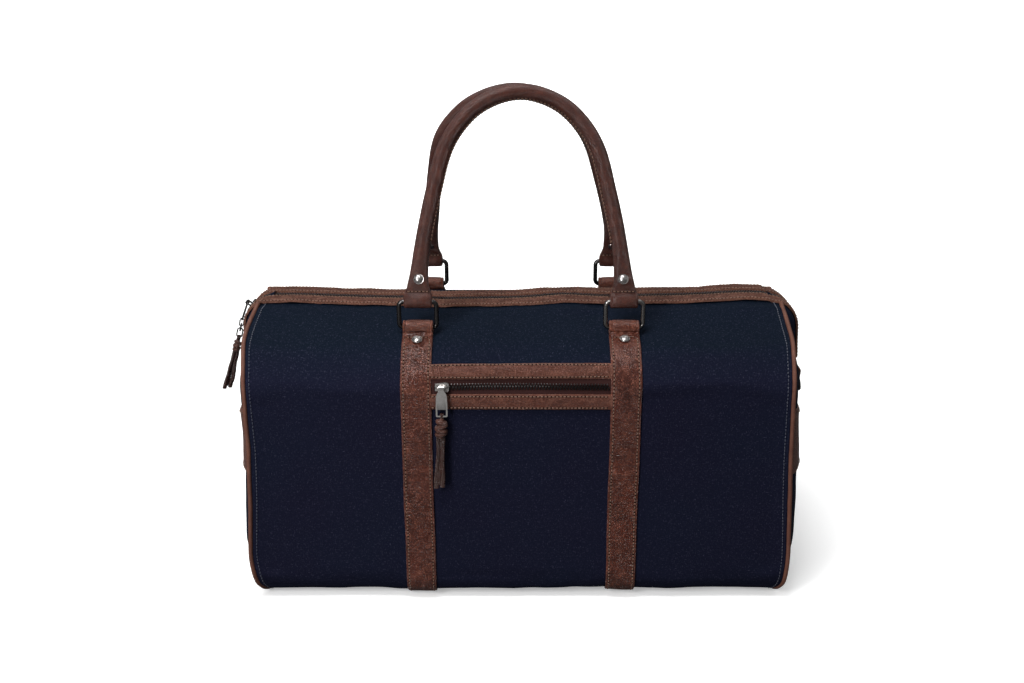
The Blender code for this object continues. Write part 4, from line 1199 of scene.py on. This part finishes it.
def handle(face, sign):
    place = (Matrix.Translation((0, RING_Y * sign, RING_Z + RING_HEIGHT))
             @ Matrix.Rotation(HANDLE_LEAN * sign, 4, "X"))
    stations = handle_stations(handle_path(sign > 0))
    leather = Shapes()
    leather.loft([handle_ring(place, sign, *station) for station in stations])
    leather.finish(f"handle_leather_{face}", HANDLE, face + "_handle", f"handle_{face}",
                   "dark_leather", sharp=70)
    handle_stitches(face, place, stations)
    outward = place.to_3x3() @ Vector((0, sign, 0))
    stud_height = 0.0205
    _, half_thick = section_at(stud_height)
    for end, end_sign in ENDS:
        centre = place @ Vector((end_sign * 0.0935, 0, stud_height))
        stud = lathe(STUD, centre + outward * (half_thick + 0.0003), outward)
        inner = lathe([(radius * 0.8, height * 0.5) for radius, height in STUD],
                      centre - outward * (half_thick + 0.0002), -outward)
        stud.add(inner.verts, inner.faces)
        stud.finish(f"handle_stud_{face}_{end}", NICKEL, face + "_handle",
                    f"handle_rivet_{face}_{end}", "nickel", sharp=45)


for face_name, face_sign in FACES:
    handle(face_name, face_sign)


# ---------------------------------------------------------------- mouth: bands, tape, teeth
def zip_path(radius, drop):
    """Rows of x, z and outward normal x, z along the zip, from left end to right end."""
    out_x, out_z = math.sin(ZIP_TURN), math.cos(ZIP_TURN)
    corner = []  # right end, from the tail up to the top
    for k in range(13):
        below = drop * (1 - k / 12)
        corner.append((ZIP_X + out_x * radius + out_z * below,
                       ZIP_Z + out_z * radius - out_x * below, out_x, out_z))
    for k in range(1, 25):
        s, c = math.sin(ZIP_TURN * (1 - k / 24)), math.cos(ZIP_TURN * (1 - k / 24))
        corner.append((ZIP_X + radius * s, ZIP_Z + radius * c, s, c))
    left = [(-x, z, -normal_x, normal_z) for x, z, normal_x, normal_z in corner]
    top = [(x, ZIP_Z + radius + float(wave(x)), 0.0, 1.0)
           for x in np.linspace(-ZIP_X, ZIP_X, 150)[1:-1]]
    return np.array(left + top + corner[::-1])


def zip_band(face, sign):
    """Leather band along one side of the zip."""
    stitch_line = 0.0062
    path = zip_path(ZIP_RADIUS - 0.0016, ZIP_DROP)
    section = strip_section(0.0082, 0.0018, groove=stitch_line, crown=0.0005)
    rows = []
    for length, (x, z, normal_x, normal_z) in zip(path_lengths(path[:, :2]), path):
        wobble = 0.0010 * fractal((length * 24, sign, 0), 31.0, 3)
        lift = 0.0011 * fractal((length * 30, sign, 0), 37.0, 3)
        if abs(normal_x) >= 0.3:
            tilt = 0.02
        else:
            tilt = 0.10 if sign < 0 else 0.0
        row = []
        for across, thick in section:
            grain = 0.0002 * fractal((length * 160, across * 300, sign), 33.0, 2)
            height = (thick + lift * (0.6 + 0.4 * across / 0.008) - (across + 0.008) * tilt
                      + grain)
            row.append((x + normal_x * height, sign * (0.0147 + wobble + across),
                        z + normal_z * height))
        rows.append(row)
    band = Shapes()
    band.loft(rows)
    band.finish(f"zip_band_leather_{face}", SUEDE, node=f"zip_band_{face}", sharp=60)

    threads = Shapes()
    for across in (-stitch_line, stitch_line):
        line = np.array([interpolate(across, section[:-4, 0], row[:-4]) for row in rows])
        lengths = path_lengths(line)
        for length in steps(0.002, lengths[-1], STITCH_PITCH, margin=0.003):
            k = int(np.interp(length, lengths, np.arange(len(lengths))))
            threads.stitch(interpolate(length, lengths, line),
                           interpolate(length + STITCH_LENGTH, lengths, line),
                           (path[k, 2], 0, path[k, 3]))
    threads.finish_stitches(f"zip_band_stitches_{face}")


def zip_tape(face, sign):
    section = [(0.0008, 0.0), (0.0008, 0.0006), (0.0030, 0.0009), (0.0090, 0.0009),
               (0.0180, 0.0006), (0.0180, 0.0)]  # distance from the middle, height
    tape = Shapes()
    tape.loft([[(x + normal_x * h, sign * y, z + normal_z * h) for y, h in section]
               for x, z, normal_x, normal_z in zip_path(ZIP_RADIUS - 0.0026, ZIP_DROP - 0.010)])
    tape.finish(f"zip_tape_woven_{face}", TAPE, node=f"zip_tape_{face}", slot="zip_tape",
                sharp=50)


def tooth_ring(centre, along, out, half_width, half_height):
    """Section of a tooth with its two outer corners cut."""
    corners = ((-1, -0.6), (-1, 0.6), (-0.55, 1), (0.55, 1), (1, 0.6), (1, -0.6))
    return [centre + along * half_width * a + out * half_height * q for a, q in corners]


# Zip tooth: distance from the middle, half width, half height.
ZIP_TOOTH = [(0.0038, 0.00055, 0.0007), (0.0028, 0.0007, 0.0012), (0.0012, 0.00075, 0.0013),
             (0.0002, 0.0006, 0.0010), (-0.0006, 0.00035, 0.0006)]


def zip_teeth(face, sign):
    pitch = 0.0026
    path = zip_path(ZIP_RADIUS - 0.0019, ZIP_DROP - 0.012)
    lengths = path_lengths(path[:, :2])
    teeth = Shapes()
    # the two rows interlock, half a pitch apart
    start = 0.001 + (pitch / 2 if sign > 0 else 0)
    for length in steps(start, lengths[-1] - 0.001, pitch):
        x, z, normal_x, normal_z = interpolate(length, lengths, path)
        out = Vector((normal_x, 0, normal_z)).normalized()
        along = Vector((out.z, 0, -out.x))
        centre = Vector((x, 0, z)) + out * 0.0004
        teeth.loft([tooth_ring(centre + Vector((0, sign * y, 0)), along, out, width, height)
                    for y, width, height in ZIP_TOOTH])
    teeth.finish(f"zip_teeth_metal_{face}", TOOTH, node=f"zip_teeth_{face}", slot="gunmetal",
                 smooth=False)


for face_name, face_sign in FACES:
    zip_band(face_name, face_sign)
    zip_tape(face_name, face_sign)
    zip_teeth(face_name, face_sign)


# ---------------------------------------------------------------- slider and pull parts
def slider_plates(place, low, high, half_length, wide, narrow):
    """Two plates, wide at the nose and pinched at the tail; low and high face each other."""
    stations = ((-1, narrow), (-0.6, narrow * 1.06), (-0.1, (narrow + wide) / 2), (0.5, wide),
                (0.85, wide * 0.92), (1, wide * 0.6))
    plates = Shapes()
    for bottom, top in ((high, high + 0.0014), (low - 0.0013, low)):
        edge = (top - bottom) * 0.35
        plates.loft([
            [place @ Vector((s * half_length, y, z)) for y, z in (
                (-half, bottom), (-half, top - edge), (-half + edge, top),
                (half - edge, top), (half, top - edge), (half, bottom))]
            for s, half in stations])
    return plates


def stadium(half, top, bottom, count=10):
    """Slot outline (across, up); the first count + 1 points are the upper half turn."""
    angles = [math.pi * k / count for k in range(count + 1)]
    return ([(half * math.cos(a), top - half + half * math.sin(a)) for a in angles]
            + [(-half * math.cos(a), bottom + half - half * math.sin(a)) for a in angles])


def plane_ring(plane, points, height):
    """Points (across, up) on a plane (origin, down, across), raised by a height."""
    origin, down, across = plane
    normal = across.cross(-down).normalized()
    return [origin + across * a - down * q + normal * height for a, q in points]


def prism(plane, points, half_thick):
    shape = Shapes()
    shape.loft([plane_ring(plane, points, h) for h in (-half_thick, half_thick)])
    return shape


def bevelled_plate(plane, outline, half_thick, bevel=0.00025):
    centre = Vector([sum(p[k] for p in outline) / len(outline) for k in (0, 1)])
    rings = []
    for height, inset in ((-half_thick, bevel), (-half_thick + bevel, 0.0),
                          (half_thick - bevel, 0.0), (half_thick, bevel)):
        points = []
        for point in outline:
            offset = Vector(point) - centre
            points.append(centre + offset * (1 - inset / offset.length))
        rings.append(plane_ring(plane, points, height))
    shape = Shapes()
    shape.loft(rings)
    return shape


def solid(name, shape):
    mesh = bpy.data.meshes.new(name)
    mesh.from_pydata([tuple(v) for v in shape.verts], [], shape.faces)
    face_outward(mesh)
    return link_object(name, mesh)


def pull_tab(name, plane, outline, half_thick, windows, barrel, material, body, node):
    """A metal plate with windows cut through and a barrel (half length, radius) at its top."""
    origin, _, across = plane
    half, radius = barrel
    pin = Shapes()
    pin.tube([origin - across * half, origin + across * half], radius, sides=20)
    plate = solid(name, bevelled_plate(plane, outline, half_thick))
    tools = []
    for operation, shape in [("DIFFERENCE", window) for window in windows] + [("UNION", pin)]:
        tool = solid(name + "_tool", shape)
        modifier = plate.modifiers.new(operation, "BOOLEAN")
        modifier.operation, modifier.solver, modifier.object = operation, "EXACT", tool
        tools.append(tool)
    bpy.context.view_layer.update()
    graph = bpy.context.evaluated_depsgraph_get()
    cut = bpy.data.meshes.new_from_object(plate.evaluated_get(graph))
    for obj in (plate, *tools):
        bpy.data.objects.remove(obj, do_unlink=True)
    make(name, [tuple(v.co) for v in cut.vertices], [tuple(p.vertices) for p in cut.polygons],
         material, body, node, "nickel", sharp=35)


# Lace section (across, through), in half widths and half thicknesses.
LACE_SECTION = ((-1, -0.5), (-1.04, 0), (-1, 0.6), (-0.5, 1), (0.5, 1), (1, 0.6), (1.04, 0),
                (1, -0.5), (0.5, -1), (-0.5, -1))
# Wraps of the knot: place along it, tilt, size.
KNOT_WRAPS = ((-0.36, 0.30, 0.90), (-0.10, -0.42, 1.06), (0.14, 0.36, 1.04),
              (0.38, -0.20, 0.92))


def tassel(name, top, down, across, knot, fullness, length, width, spread, seed, body, node):
    """A folded lace: a slim neck, a knot of crossing wraps and tails that splay and curl."""
    normal = across.cross(-down).normalized()
    laces = Shapes()

    def lace(points, twists, widths, thick):
        last = len(points) - 1
        rows = []
        for k, (point, twist, half) in enumerate(zip(points, twists, widths)):
            along = (points[min(k + 1, last)] - points[max(k - 1, 0)]).normalized()
            side = across * math.cos(twist) + normal * math.sin(twist)
            side = (side - along * side.dot(along)).normalized()
            out = side.cross(along).normalized()
            rows.append([point + side * x * half + out * h * thick for x, h in LACE_SECTION])
        laces.loft(rows)

    lace([top + down * (-0.0022 + 0.0010 * k) for k in range(8)], [0.0] * 8, [0.0019] * 8,
         0.0011)
    knot_centre = top + down * (0.0042 + knot / 2)
    start = knot_centre + down * knot * 0.42
    # the tails: sideways share, setback
    for q, (side, setback) in enumerate(((-1, 0.0), (1, 0.0), (-0.05, -0.0011))):
        points, twists, widths = [], [], []
        for k in range(30):
            f = k / 29
            curl = 0.0012 * fractal((f * 2.2, side * 2.0, 0), seed, 2)
            depth = (setback + 0.0007 * side * math.sin(f * 2.6)
                     + 0.0006 * fractal((f * 3, side, 5), seed, 2))
            points.append(start + down * length * (f * (1 - 0.03 * q))
                          + across * (side * (0.0019 + spread * f) + curl) + normal * depth)
            twists.append(0.30 * side * math.sin(f * 3.0))
            widths.append(width * (0.80 + 0.22 * f))
        lace(points, twists, widths, 0.0012)
    laces.finish(name, TASSEL, body, node, "dark_leather", sharp=60)

    wraps = Shapes()
    for place, tilt, size in KNOT_WRAPS:
        centre = knot_centre + down * knot * place
        size *= fullness
        loop = [centre + across * math.cos(w) * 0.0034 * size
                + normal * math.sin(w) * 0.0026 * size + down * math.cos(w) * tilt * 0.0032
                for w in turns(26)]
        wraps.closed_tube(loop, knot * 0.165, down + across * -tilt * 0.8, sides=12)
    wraps.tube([knot_centre + down * knot * s for s in (-0.62, -0.3, 0.3, 0.62)],
               [r * fullness for r in (0.0022, 0.0042, 0.0042, 0.0034)], sides=14, flat=0.75)
    wraps.finish(name + "_knot", KNOT, body, slot="dark_leather", sharp=60)


# ---------------------------------------------------------------- main slider, at the left turn
SLIDER_PLACE = (Matrix.Translation((-ZIP_X, 0, ZIP_Z))
                @ Matrix.Rotation(-math.radians(56), 4, "Y"))
PIVOT_RISE = 0.0055
PULL_PIVOT = SLIDER_PLACE @ Vector((0, 0, ZIP_RADIUS + PIVOT_RISE))
PULL_DOWN = Vector((-0.349, 0, -0.937)).normalized()
CHAIN_TOP = PULL_PIVOT + PULL_DOWN * 0.01995
CHAIN_DOWN = Vector((-0.248, 0, -0.969)).normalized()


def main_slider():
    slider = slider_plates(SLIDER_PLACE, ZIP_RADIUS - 0.0047, ZIP_RADIUS + 0.0002,
                           half_length=0.0060, wide=0.0054, narrow=0.0044)
    slider.tube([SLIDER_PLACE @ Vector((0.0034, 0, ZIP_RADIUS + rise))
                 for rise in (-0.0054, 0.0008)], 0.0005, sides=8)
    # staple across the plate: y, rise; mirrored
    leg = [(0.0042, 0.0008), (0.0043, 0.0036), (0.0040, 0.0050), (0.0033, PIVOT_RISE)]
    staple = [(-y, rise) for y, rise in leg] + leg[::-1]
    slider.tube([SLIDER_PLACE @ Vector((0, y, ZIP_RADIUS + rise)) for y, rise in staple],
                0.0009, sides=10)
    slider.finish("main_slider", GUNMETAL, "zip_slider_body", "zip_slider", "gunmetal",
                  sharp=45)


def main_pull():
    plane = (PULL_PIVOT, PULL_DOWN, Y_AXIS)
    neck = [(0.0034, -0.0055), (0.0025, -0.0028), (0.0024, 0.0)]
    outline = ([(-a, q) for a, q in neck[::-1]] + stadium(0.0034, 0.0, -0.0205)[11:] + neck)
    windows = [prism(plane, stadium(0.0019, -0.0145, -0.0194), 0.004),
               prism(plane, stadium(0.0016, -0.0045, -0.0120), 0.004)]
    pull_tab("main_pull_tab", plane, outline, 0.0006, windows, (0.0026, 0.0019), GUNMETAL,
             "zip_pull_body", "zip_pull")


def main_chain():
    """Three links, each turned a quarter from the last."""
    across = CHAIN_DOWN.cross(Y_AXIS)
    # distance down, width direction, plane normal, half width, length, wire radius, sides
    links = ((0.0, across, Y_AXIS, 0.0019, 0.0068, 0.00062, 10),
             (0.0054, Y_AXIS, across, 0.0019, 0.0068, 0.00062, 10),
             (0.0108, across, Y_AXIS, 0.0026, 0.0082, 0.00068, 12))
    chain = Shapes()
    for distance, width, normal, half, length, radius, sides in links:
        plane = (CHAIN_TOP + CHAIN_DOWN * distance, CHAIN_DOWN, width)
        outline = stadium(half, half * 0.9, -length + half * 0.2, 8)
        chain.closed_tube(plane_ring(plane, outline, 0.0), radius, normal, sides)
    chain.finish("main_pull_chain", GUNMETAL, "zip_tassel_body", "zip_pull_link", "gunmetal")


main_slider()
main_pull()
main_chain()
tassel("main_tassel", CHAIN_TOP + CHAIN_DOWN * 0.0185,
       down=Vector((-0.273, 0, -0.962)).normalized(),
       across=Vector((0.72, 0.66, -0.204)).normalized(),
       knot=0.0095, fullness=0.80, length=0.0435, width=0.0020, spread=0.0006, seed=41.0,
       body="zip_tassel_body", node="zip_tassel")

# ---------------------------------------------------------------- end patches and D-rings
# Upper edge of a patch: |y|, z.
PATCH_TOP = np.array([(0.0, 0.2065), (0.0110, 0.2060), (0.0145, 0.2020), (0.0185, 0.1900),
                      (0.0270, 0.1800), (0.0450, 0.1765), (0.0750, 0.1835), (0.1120, 0.1935)])
PATCH_BOTTOM, PATCH_HALF = 0.1290, 0.1165
DRING_X, DRING_Z, DRING_HALF = 0.2755, 0.1935, 0.0135
CHAPE_FOOT_Z, CHAPE_TOP_Z = 0.164, DRING_Z - 0.006


def patch_top(y):
    return float(np.interp(abs(y), PATCH_TOP[:, 0], PATCH_TOP[:, 1]))


def end_patch(name, sign):
    rows, columns = 121, 22
    top_side, under_side = [], []
    for y in np.linspace(-PATCH_HALF, PATCH_HALF, rows):
        z_top = patch_top(y) + 0.0006 * fractal((y * 20, 0, 0), 51.0 + sign, 2)
        z_bottom = PATCH_BOTTOM + 0.0008 * fractal((y * 18, 1, 0), 52.0, 2)
        for k in range(columns):
            # closer rows at both edges round them off
            share = 0.5 - 0.5 * math.cos(math.pi * k / (columns - 1))
            z = z_bottom + (z_top - z_bottom) * share
            edge = min((z - z_bottom), (z_top - z), PATCH_HALF - abs(y))
            inward = 1 - min(1.0, max(0.0, edge) / 0.0012)
            height = 0.0004 + 0.0015 * math.sqrt(max(0.0, 1 - inward ** 2))
            height -= 0.0003 * math.exp(-((edge - 0.0030) / 0.0005) ** 2)
            x = end_x(sign, max(-0.1150, min(0.1150, y)), z)
            top_side.append((x + sign * height, y, z))
            under_side.append((x + sign * 0.0002, y, z))
    count = len(top_side)
    faces = quads(rows, columns)
    faces += [tuple(count + i for i in reversed(face)) for face in quads(rows, columns)]
    border = (list(range(columns)) + [i * columns + columns - 1 for i in range(1, rows)]
              + [(rows - 1) * columns + k for k in range(columns - 2, -1, -1)]
              + [i * columns for i in range(rows - 2, 0, -1)])
    for a, b in zip(border, border[1:] + border[:1]):
        faces.append((a, b, count + b, count + a))
    make("end_patch_leather_" + name, top_side + under_side, faces, WELT,
         node="end_patch_" + name, sharp=60)


def end_patch_stitches(name, sign):
    threads = Shapes()
    upper = [(y, patch_top(y) - 0.0032) for y in np.linspace(-0.112, 0.112, 200)]
    lower = [(y, PATCH_BOTTOM + 0.0032) for y in np.linspace(-0.112, 0.112, 100)]
    for line in (upper, lower):
        lengths = path_lengths(np.array(line))
        for length in steps(0.0, lengths[-1], STITCH_PITCH, margin=0.003):
            ends = []
            for place in (length, length + STITCH_LENGTH):
                y, z = map(float, interpolate(place, lengths, line))
                ends.append((end_x(sign, y, z) + sign * 0.0019, y, z))
            threads.stitch(*ends, (sign, 0, 0))
    threads.finish("end_patch_stitches_" + name, THREAD)


def chape_x(sign, z):
    """Distance out to the inner side of the D-ring's loop at height z."""
    share = (z - CHAPE_FOOT_Z) / (CHAPE_TOP_Z - CHAPE_FOOT_Z)
    start = abs(end_x(sign, 0, z)) + 0.0021
    return start + (DRING_X + 0.0016 - start) * share ** 2


def dring_chape(name, sign):
    """Leather loop from the patch up and round the D-ring's bar, with a row of stitches."""
    line = [(chape_x(sign, z), z) for z in np.linspace(CHAPE_FOOT_Z, CHAPE_TOP_Z, 8)]
    line += [(DRING_X + 0.0020 * math.cos(a), DRING_Z + 0.0020 * math.sin(a))
             for a in np.radians(np.linspace(-15, 200, 16))]
    along = np.gradient(np.array(line), axis=0)
    normals = np.stack([along[:, 1], -along[:, 0]], 1)
    normals /= np.linalg.norm(normals, axis=1, keepdims=True)
    section = strip_section(0.0104, 0.0016, groove=0.0085, crown=0.0003)
    loop = Shapes()
    loop.loft([[(sign * (x + normal_x * h), across, z + normal_z * h) for across, h in section]
               for (x, z), (normal_x, normal_z) in zip(line, normals)])
    loop.finish("dring_loop_leather_" + name, LEATHER if name == "left" else WELT,
                node="dring_chape_" + name, sharp=60)
    threads = Shapes()
    row_z = 0.1700
    row_x = sign * (chape_x(sign, row_z) + 0.0019)
    for y in steps(-0.0075, 0.007, 0.0033):
        threads.stitch((row_x, y, row_z), (row_x, y + 0.0024, row_z), (sign, 0, 0.2))
    threads.finish("dring_loop_stitches_" + name, THREAD)


def dring(name, sign):
    """Wire D; the right one hangs down and the left one stands up."""
    rise, lean = (-1, 0.0045) if name == "right" else (1, -0.0008)
    points = [(sign * DRING_X, -DRING_HALF + 2 * DRING_HALF * k / 12, DRING_Z)
              for k in range(13)]
    for k in range(29):
        s, c = math.sin(math.pi * k / 28), math.cos(math.pi * k / 28)
        points.append((sign * (DRING_X + lean * s), DRING_HALF * c,
                       DRING_Z + rise * (0.0030 + 0.0185 * s ** 0.9)))
    wire = Shapes()
    wire.closed_tube(points, 0.00165, (sign, 0, 0), sides=14)
    wire.finish("dring_wire_" + name, GUNMETAL, f"dring_{name}_body", "dring_" + name,
                "gunmetal")


for end_name, end_sign in ENDS:
    for build in (end_patch, end_patch_stitches, dring_chape, dring):
        build(end_name, end_sign)

# ---------------------------------------------------------------- front pocket
# Heights here are measured up the front's surface from the shoulder line.
SHOULDER_LENGTH = length_at_z(SHOULDER_Z)
POCKET_ZIP = 0.0125
WELT_STITCH_LINE = 0.0052


def pocket_sag(x, seed):
    return 0.0006 * fractal((x * 14, 0, 0), seed, 2)


def pocket_strip(name, section, middle, base, half_length, ripple, seed, material, node, slot):
    """A strip across the front, centred on a height."""
    widths, heights = section.T
    rows = []
    for x in np.linspace(-half_length, half_length, 120):
        relief = ripple * fractal((x * 60, 2, 0), seed, 3)
        points, _ = surface(x, SHOULDER_LENGTH - (middle + pocket_sag(x, seed) + widths),
                            base + heights + relief)
        rows.append(points)
    strip = Shapes()
    strip.loft(rows)
    strip.finish(name, material, node=node, slot=slot, sharp=60)


def pocket_welt(place, middle, seed, node):
    name = "pocket_welt_" + place
    section = strip_section(0.0071, 0.0018, groove=WELT_STITCH_LINE, crown=0.0004)
    pocket_strip(name, section, middle, base=0.0002, half_length=0.0825, ripple=0.0003,
                 seed=seed, material=WELT, node=node, slot="brown_leather")
    threads = Shapes()
    for height in (middle - WELT_STITCH_LINE, middle + WELT_STITCH_LINE):
        for x in steps(-0.081, 0.081, STITCH_PITCH, margin=0.003):
            length = SHOULDER_LENGTH - (height + pocket_sag(x, seed))
            start, normal = surface(x, length, 0.0021)
            end, _ = surface(x + STITCH_LENGTH, length, 0.0021)
            threads.stitch(start, end, normal)
    threads.finish_stitches(name + "_stitches")


def pocket_tape(place, middle, half_width, seed, node):
    pocket_strip("pocket_tape_" + place, strip_section(half_width, 0.0006), middle, base=0.0001,
                 half_length=0.0815, ripple=0.0001, seed=seed, material=TAPE, node=node,
                 slot="zip_tape")


# Pocket tooth: distance from the middle, half width, half height.
POCKET_TOOTH = [(0.0032, 0.00055, 0.0006), (0.0025, 0.00078, 0.0011), (0.0012, 0.00082, 0.0012),
                (0.0002, 0.0006, 0.0010), (-0.0006, 0.0004, 0.0006)]


def pocket_teeth(place, sign, node):
    pitch = 0.0027
    teeth = Shapes()
    for x in steps(-0.0775 + (pitch / 2 if sign > 0 else 0), 0.0800, pitch):
        rings = []
        for distance, width, height in POCKET_TOOTH:
            centre, normal = surface(x, SHOULDER_LENGTH - (POCKET_ZIP + sign * distance), 0.0008)
            rings.append(tooth_ring(Vector(centre), X_AXIS, Vector(normal), width, height))
        teeth.loft(rings)
    teeth.finish("pocket_teeth_metal_" + place, TOOTH, node=node, slot="gunmetal", smooth=False)


def pocket_slider_place():
    """Frame on the pocket's zip: x along it, y up the surface, z outward."""
    angle = POCKET_ZIP / SHOULDER_RADIUS
    c, s = math.cos(angle), math.sin(angle)
    origin = (-0.0720, -(SHOULDER_Y + SHOULDER_RADIUS * c), SHOULDER_Z + SHOULDER_RADIUS * s)
    axes = Matrix((X_AXIS, Vector((0, s, c)), Vector((0, -c, s)))).transposed()
    return Matrix.Translation(origin) @ axes.to_4x4()


def pocket_slider(place):
    slider = slider_plates(place @ Matrix.Translation((0.0010, 0, 0)), -0.0022, 0.0020,
                           half_length=0.0062, wide=0.0047, narrow=0.0036)
    slider.tube([place @ Vector((0.0042, 0, z)) for z in (-0.0028, 0.0026)], 0.0005, sides=8)
    # bridge along the slider: x, z
    bridge = [(-0.0038, 0.0026), (-0.0040, 0.0052), (-0.0036, 0.0064), (-0.0026, 0.0068),
              (0.0038, 0.0068), (0.0048, 0.0064), (0.0052, 0.0052), (0.0050, 0.0026)]
    slider.tube([place @ Vector((x, 0, z)) for x, z in bridge], 0.0010, sides=12)
    slider.finish("pocket_slider_body_metal", NICKEL, "pocket_slider_body", "pocket_slider",
                  "nickel", sharp=45)


def round_bottomed(half, top, bottom, radius):
    """Box outline with rounded lower corners, from its top left round to its top right."""
    turn = [math.pi / 2 * k / 5 for k in range(6)]
    return ([(-half, top)]
            + [(-half + radius - radius * math.cos(a), bottom + radius - radius * math.sin(a))
               for a in turn]
            + [(half - radius + radius * math.sin(a), bottom + radius - radius * math.cos(a))
               for a in turn]
            + [(half, top)])


def pocket_pull(pivot, down):
    plane = (pivot, down, X_AXIS)
    neck = [(0.0049, -0.0072), (0.0040, -0.0050), (0.0023, -0.0026), (0.0021, 0.0)]
    outline = ([(-a, q) for a, q in neck[::-1]]
               + round_bottomed(0.0054, -0.0150, -0.0278, radius=0.0012) + neck)
    window = [(-0.0038, -0.0206), (-0.0038, -0.0262), (0.0038, -0.0262), (0.0038, -0.0206)]
    pull_tab("pocket_pull_tab", plane, outline, 0.0010, [prism(plane, window, 0.006)],
             (0.0025, 0.0021), SILVER, "pocket_pull_body", "pocket_pull")


pocket_welt("top", middle=0.0267, seed=61.0, node="pocket_welt_upper")
pocket_welt("bottom", middle=-0.0015, seed=63.0, node="pocket_welt_lower")
pocket_tape("top", middle=0.0165, half_width=0.0040, seed=65.0, node="pocket_tape_upper")
pocket_tape("bottom", middle=0.0085, half_width=0.0039, seed=66.0, node="pocket_tape_lower")
pocket_teeth("top", 1, "pocket_teeth_upper")
pocket_teeth("bottom", -1, "pocket_teeth_lower")
POCKET_PLACE = pocket_slider_place()
POCKET_PIVOT = POCKET_PLACE @ Vector((0.0006, 0, 0.0068))
POCKET_DOWN = Vector((0, -0.010, -1)).normalized()
pocket_slider(POCKET_PLACE)
pocket_pull(POCKET_PIVOT, POCKET_DOWN)
tassel("pocket_tassel_leather", POCKET_PIVOT + POCKET_DOWN * 0.0268,
       down=Vector((-0.060, -0.012, -1)).normalized(), across=X_AXIS,
       knot=0.0150, fullness=1.0, length=0.0535, width=0.0022, spread=0.0009, seed=71.0,
       body="pocket_tassel_body", node="pocket_tassel")

# ---------------------------------------------------------------- inside pieces keep their CAD shape
for node_name, material, slot_name in (("lining", LINING, "lining"),
                                       ("pocket_pouch", LINING, "lining"),
                                       ("base_board", BOARD, "board")):
    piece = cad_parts[node_name]
    piece.data.materials.clear()
    piece.data.materials.append(material)


# ---------------------------------------------------------------- studio
def floor_material():
    """White to the camera, but greyer in the light it throws back at the bag."""
    material, nodes = new_material("studio_white")
    seen = nodes.source("ShaderNodeLightPath", "Is Camera Ray")
    # evened out to plain white away from the bag, where the lights don't reach
    position = nodes.source("ShaderNodeNewGeometry", "Position")
    far = nodes.node("ShaderNodeVectorMath", {0: position}, operation="LENGTH").outputs["Value"]
    even = nodes.node("ShaderNodeMapRange", {
        "Value": far, "From Min": 0.8, "From Max": 1.8, "To Min": 0.30, "To Max": 1.0,
    }).outputs[0]
    nodes.set("Principled BSDF", {
        "Base Color": nodes.mix(seen, (0.13, 0.13, 0.13), (0.95, 0.95, 0.95)),
        "Roughness": 0.9, "Specular IOR Level": 0.1, "Emission Color": (1, 1, 1),
        "Emission Strength": nodes.times(seen, even),
    })
    return material


def studio_floor():
    """Floor that sweeps up behind the bag."""
    half_width = 6.0
    sweep = [(-6.0, 0.0), (1.6, 0.0), (2.2, 0.10), (2.6, 0.45), (2.75, 1.0), (2.8, 5.0)]  # y, z
    mesh = bpy.data.meshes.new("floor")
    verts = [(x, y, z) for y, z in sweep for x in (-half_width, half_width)]
    faces = [(2 * k, 2 * k + 1, 2 * k + 3, 2 * k + 2) for k in range(len(sweep) - 1)]
    mesh.from_pydata(verts, [], faces)
    mesh.materials.append(floor_material())
    floor = bpy.data.objects.new("floor", mesh)
    floor.location.z = -0.0005
    bpy.context.scene.collection.objects.link(floor)
    floor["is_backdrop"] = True


def studio_world():
    """Light that grows towards the zenith; the camera sees plain white all round."""
    world = bpy.data.worlds.new("studio")
    bpy.context.scene.world = world
    world.use_nodes = True
    nodes = Nodes(world.node_tree)
    up = nodes.split(nodes.source("ShaderNodeTexCoord", "Generated"))[2]
    glow = nodes.node("ShaderNodeMapRange", {
        "Value": up, "From Min": -0.1, "From Max": 1.0, "To Min": 0.06, "To Max": 0.55,
    }).outputs[0]
    seen = nodes.source("ShaderNodeLightPath", "Is Camera Ray")
    strength = nodes.node("ShaderNodeMix", {0: seen, 2: glow, 3: 1.0}, data_type="FLOAT")
    nodes.set("Background", {0: (1, 1, 1), 1: strength.outputs[0]})


def area_light(name, location, target, size, power):
    light = bpy.data.lights.new(name, "AREA")
    light.shape = "RECTANGLE"
    light.size, light.size_y = size
    light.energy = power
    light.color = (1, 1, 1)
    obj = bpy.data.objects.new(name, light)
    obj.location = location
    aim = Vector(target) - Vector(location)
    obj.rotation_euler = aim.to_track_quat("-Z", "Y").to_euler()
    bpy.context.scene.collection.objects.link(obj)
    obj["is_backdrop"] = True


def studio_camera():
    camera = bpy.data.cameras.new("camera")
    obj = link_object("camera", camera)
    obj.location = (0, -1.087, 0.581)
    obj.rotation_euler = (math.radians(90 - 18.3), 0, 0)
    camera.sensor_width = 36
    camera.lens = 40.359375
    camera.shift_x = -0.0087890625
    camera.clip_end = 50
    bpy.context.scene.camera = obj
    obj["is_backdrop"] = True


studio_floor()
studio_world()
area_light("key_top", (-0.30, -0.55, 1.8), target=(0, 0, 0.2), size=(0.8, 0.55), power=26)
area_light("key_left", (-1.15, -1.55, 1.35), target=(-0.05, 0, 0.2), size=(0.5, 0.7), power=24)
area_light("front_soft", (-1.1, -2.0, 0.50), target=(-0.05, 0, 0.18), size=(0.45, 0.35),
           power=14)
area_light("fill_right", (1.9, -1.3, 0.9), target=(0, 0, 0.2), size=(0.8, 1.0), power=0.8)
area_light("floor_wash", (0, 1.9, 2.6), target=(0, 2.4, 0.4), size=(4.0, 1.0), power=55)
bpy.context.scene.view_settings.view_transform = "Standard"
bpy.context.scene.view_settings.look = "None"
studio_camera()

boxes = {"cad": CAD_BOX, "visual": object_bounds()}
{key: [list(map(float, corner)) for corner in box] for key, box in boxes.items()}
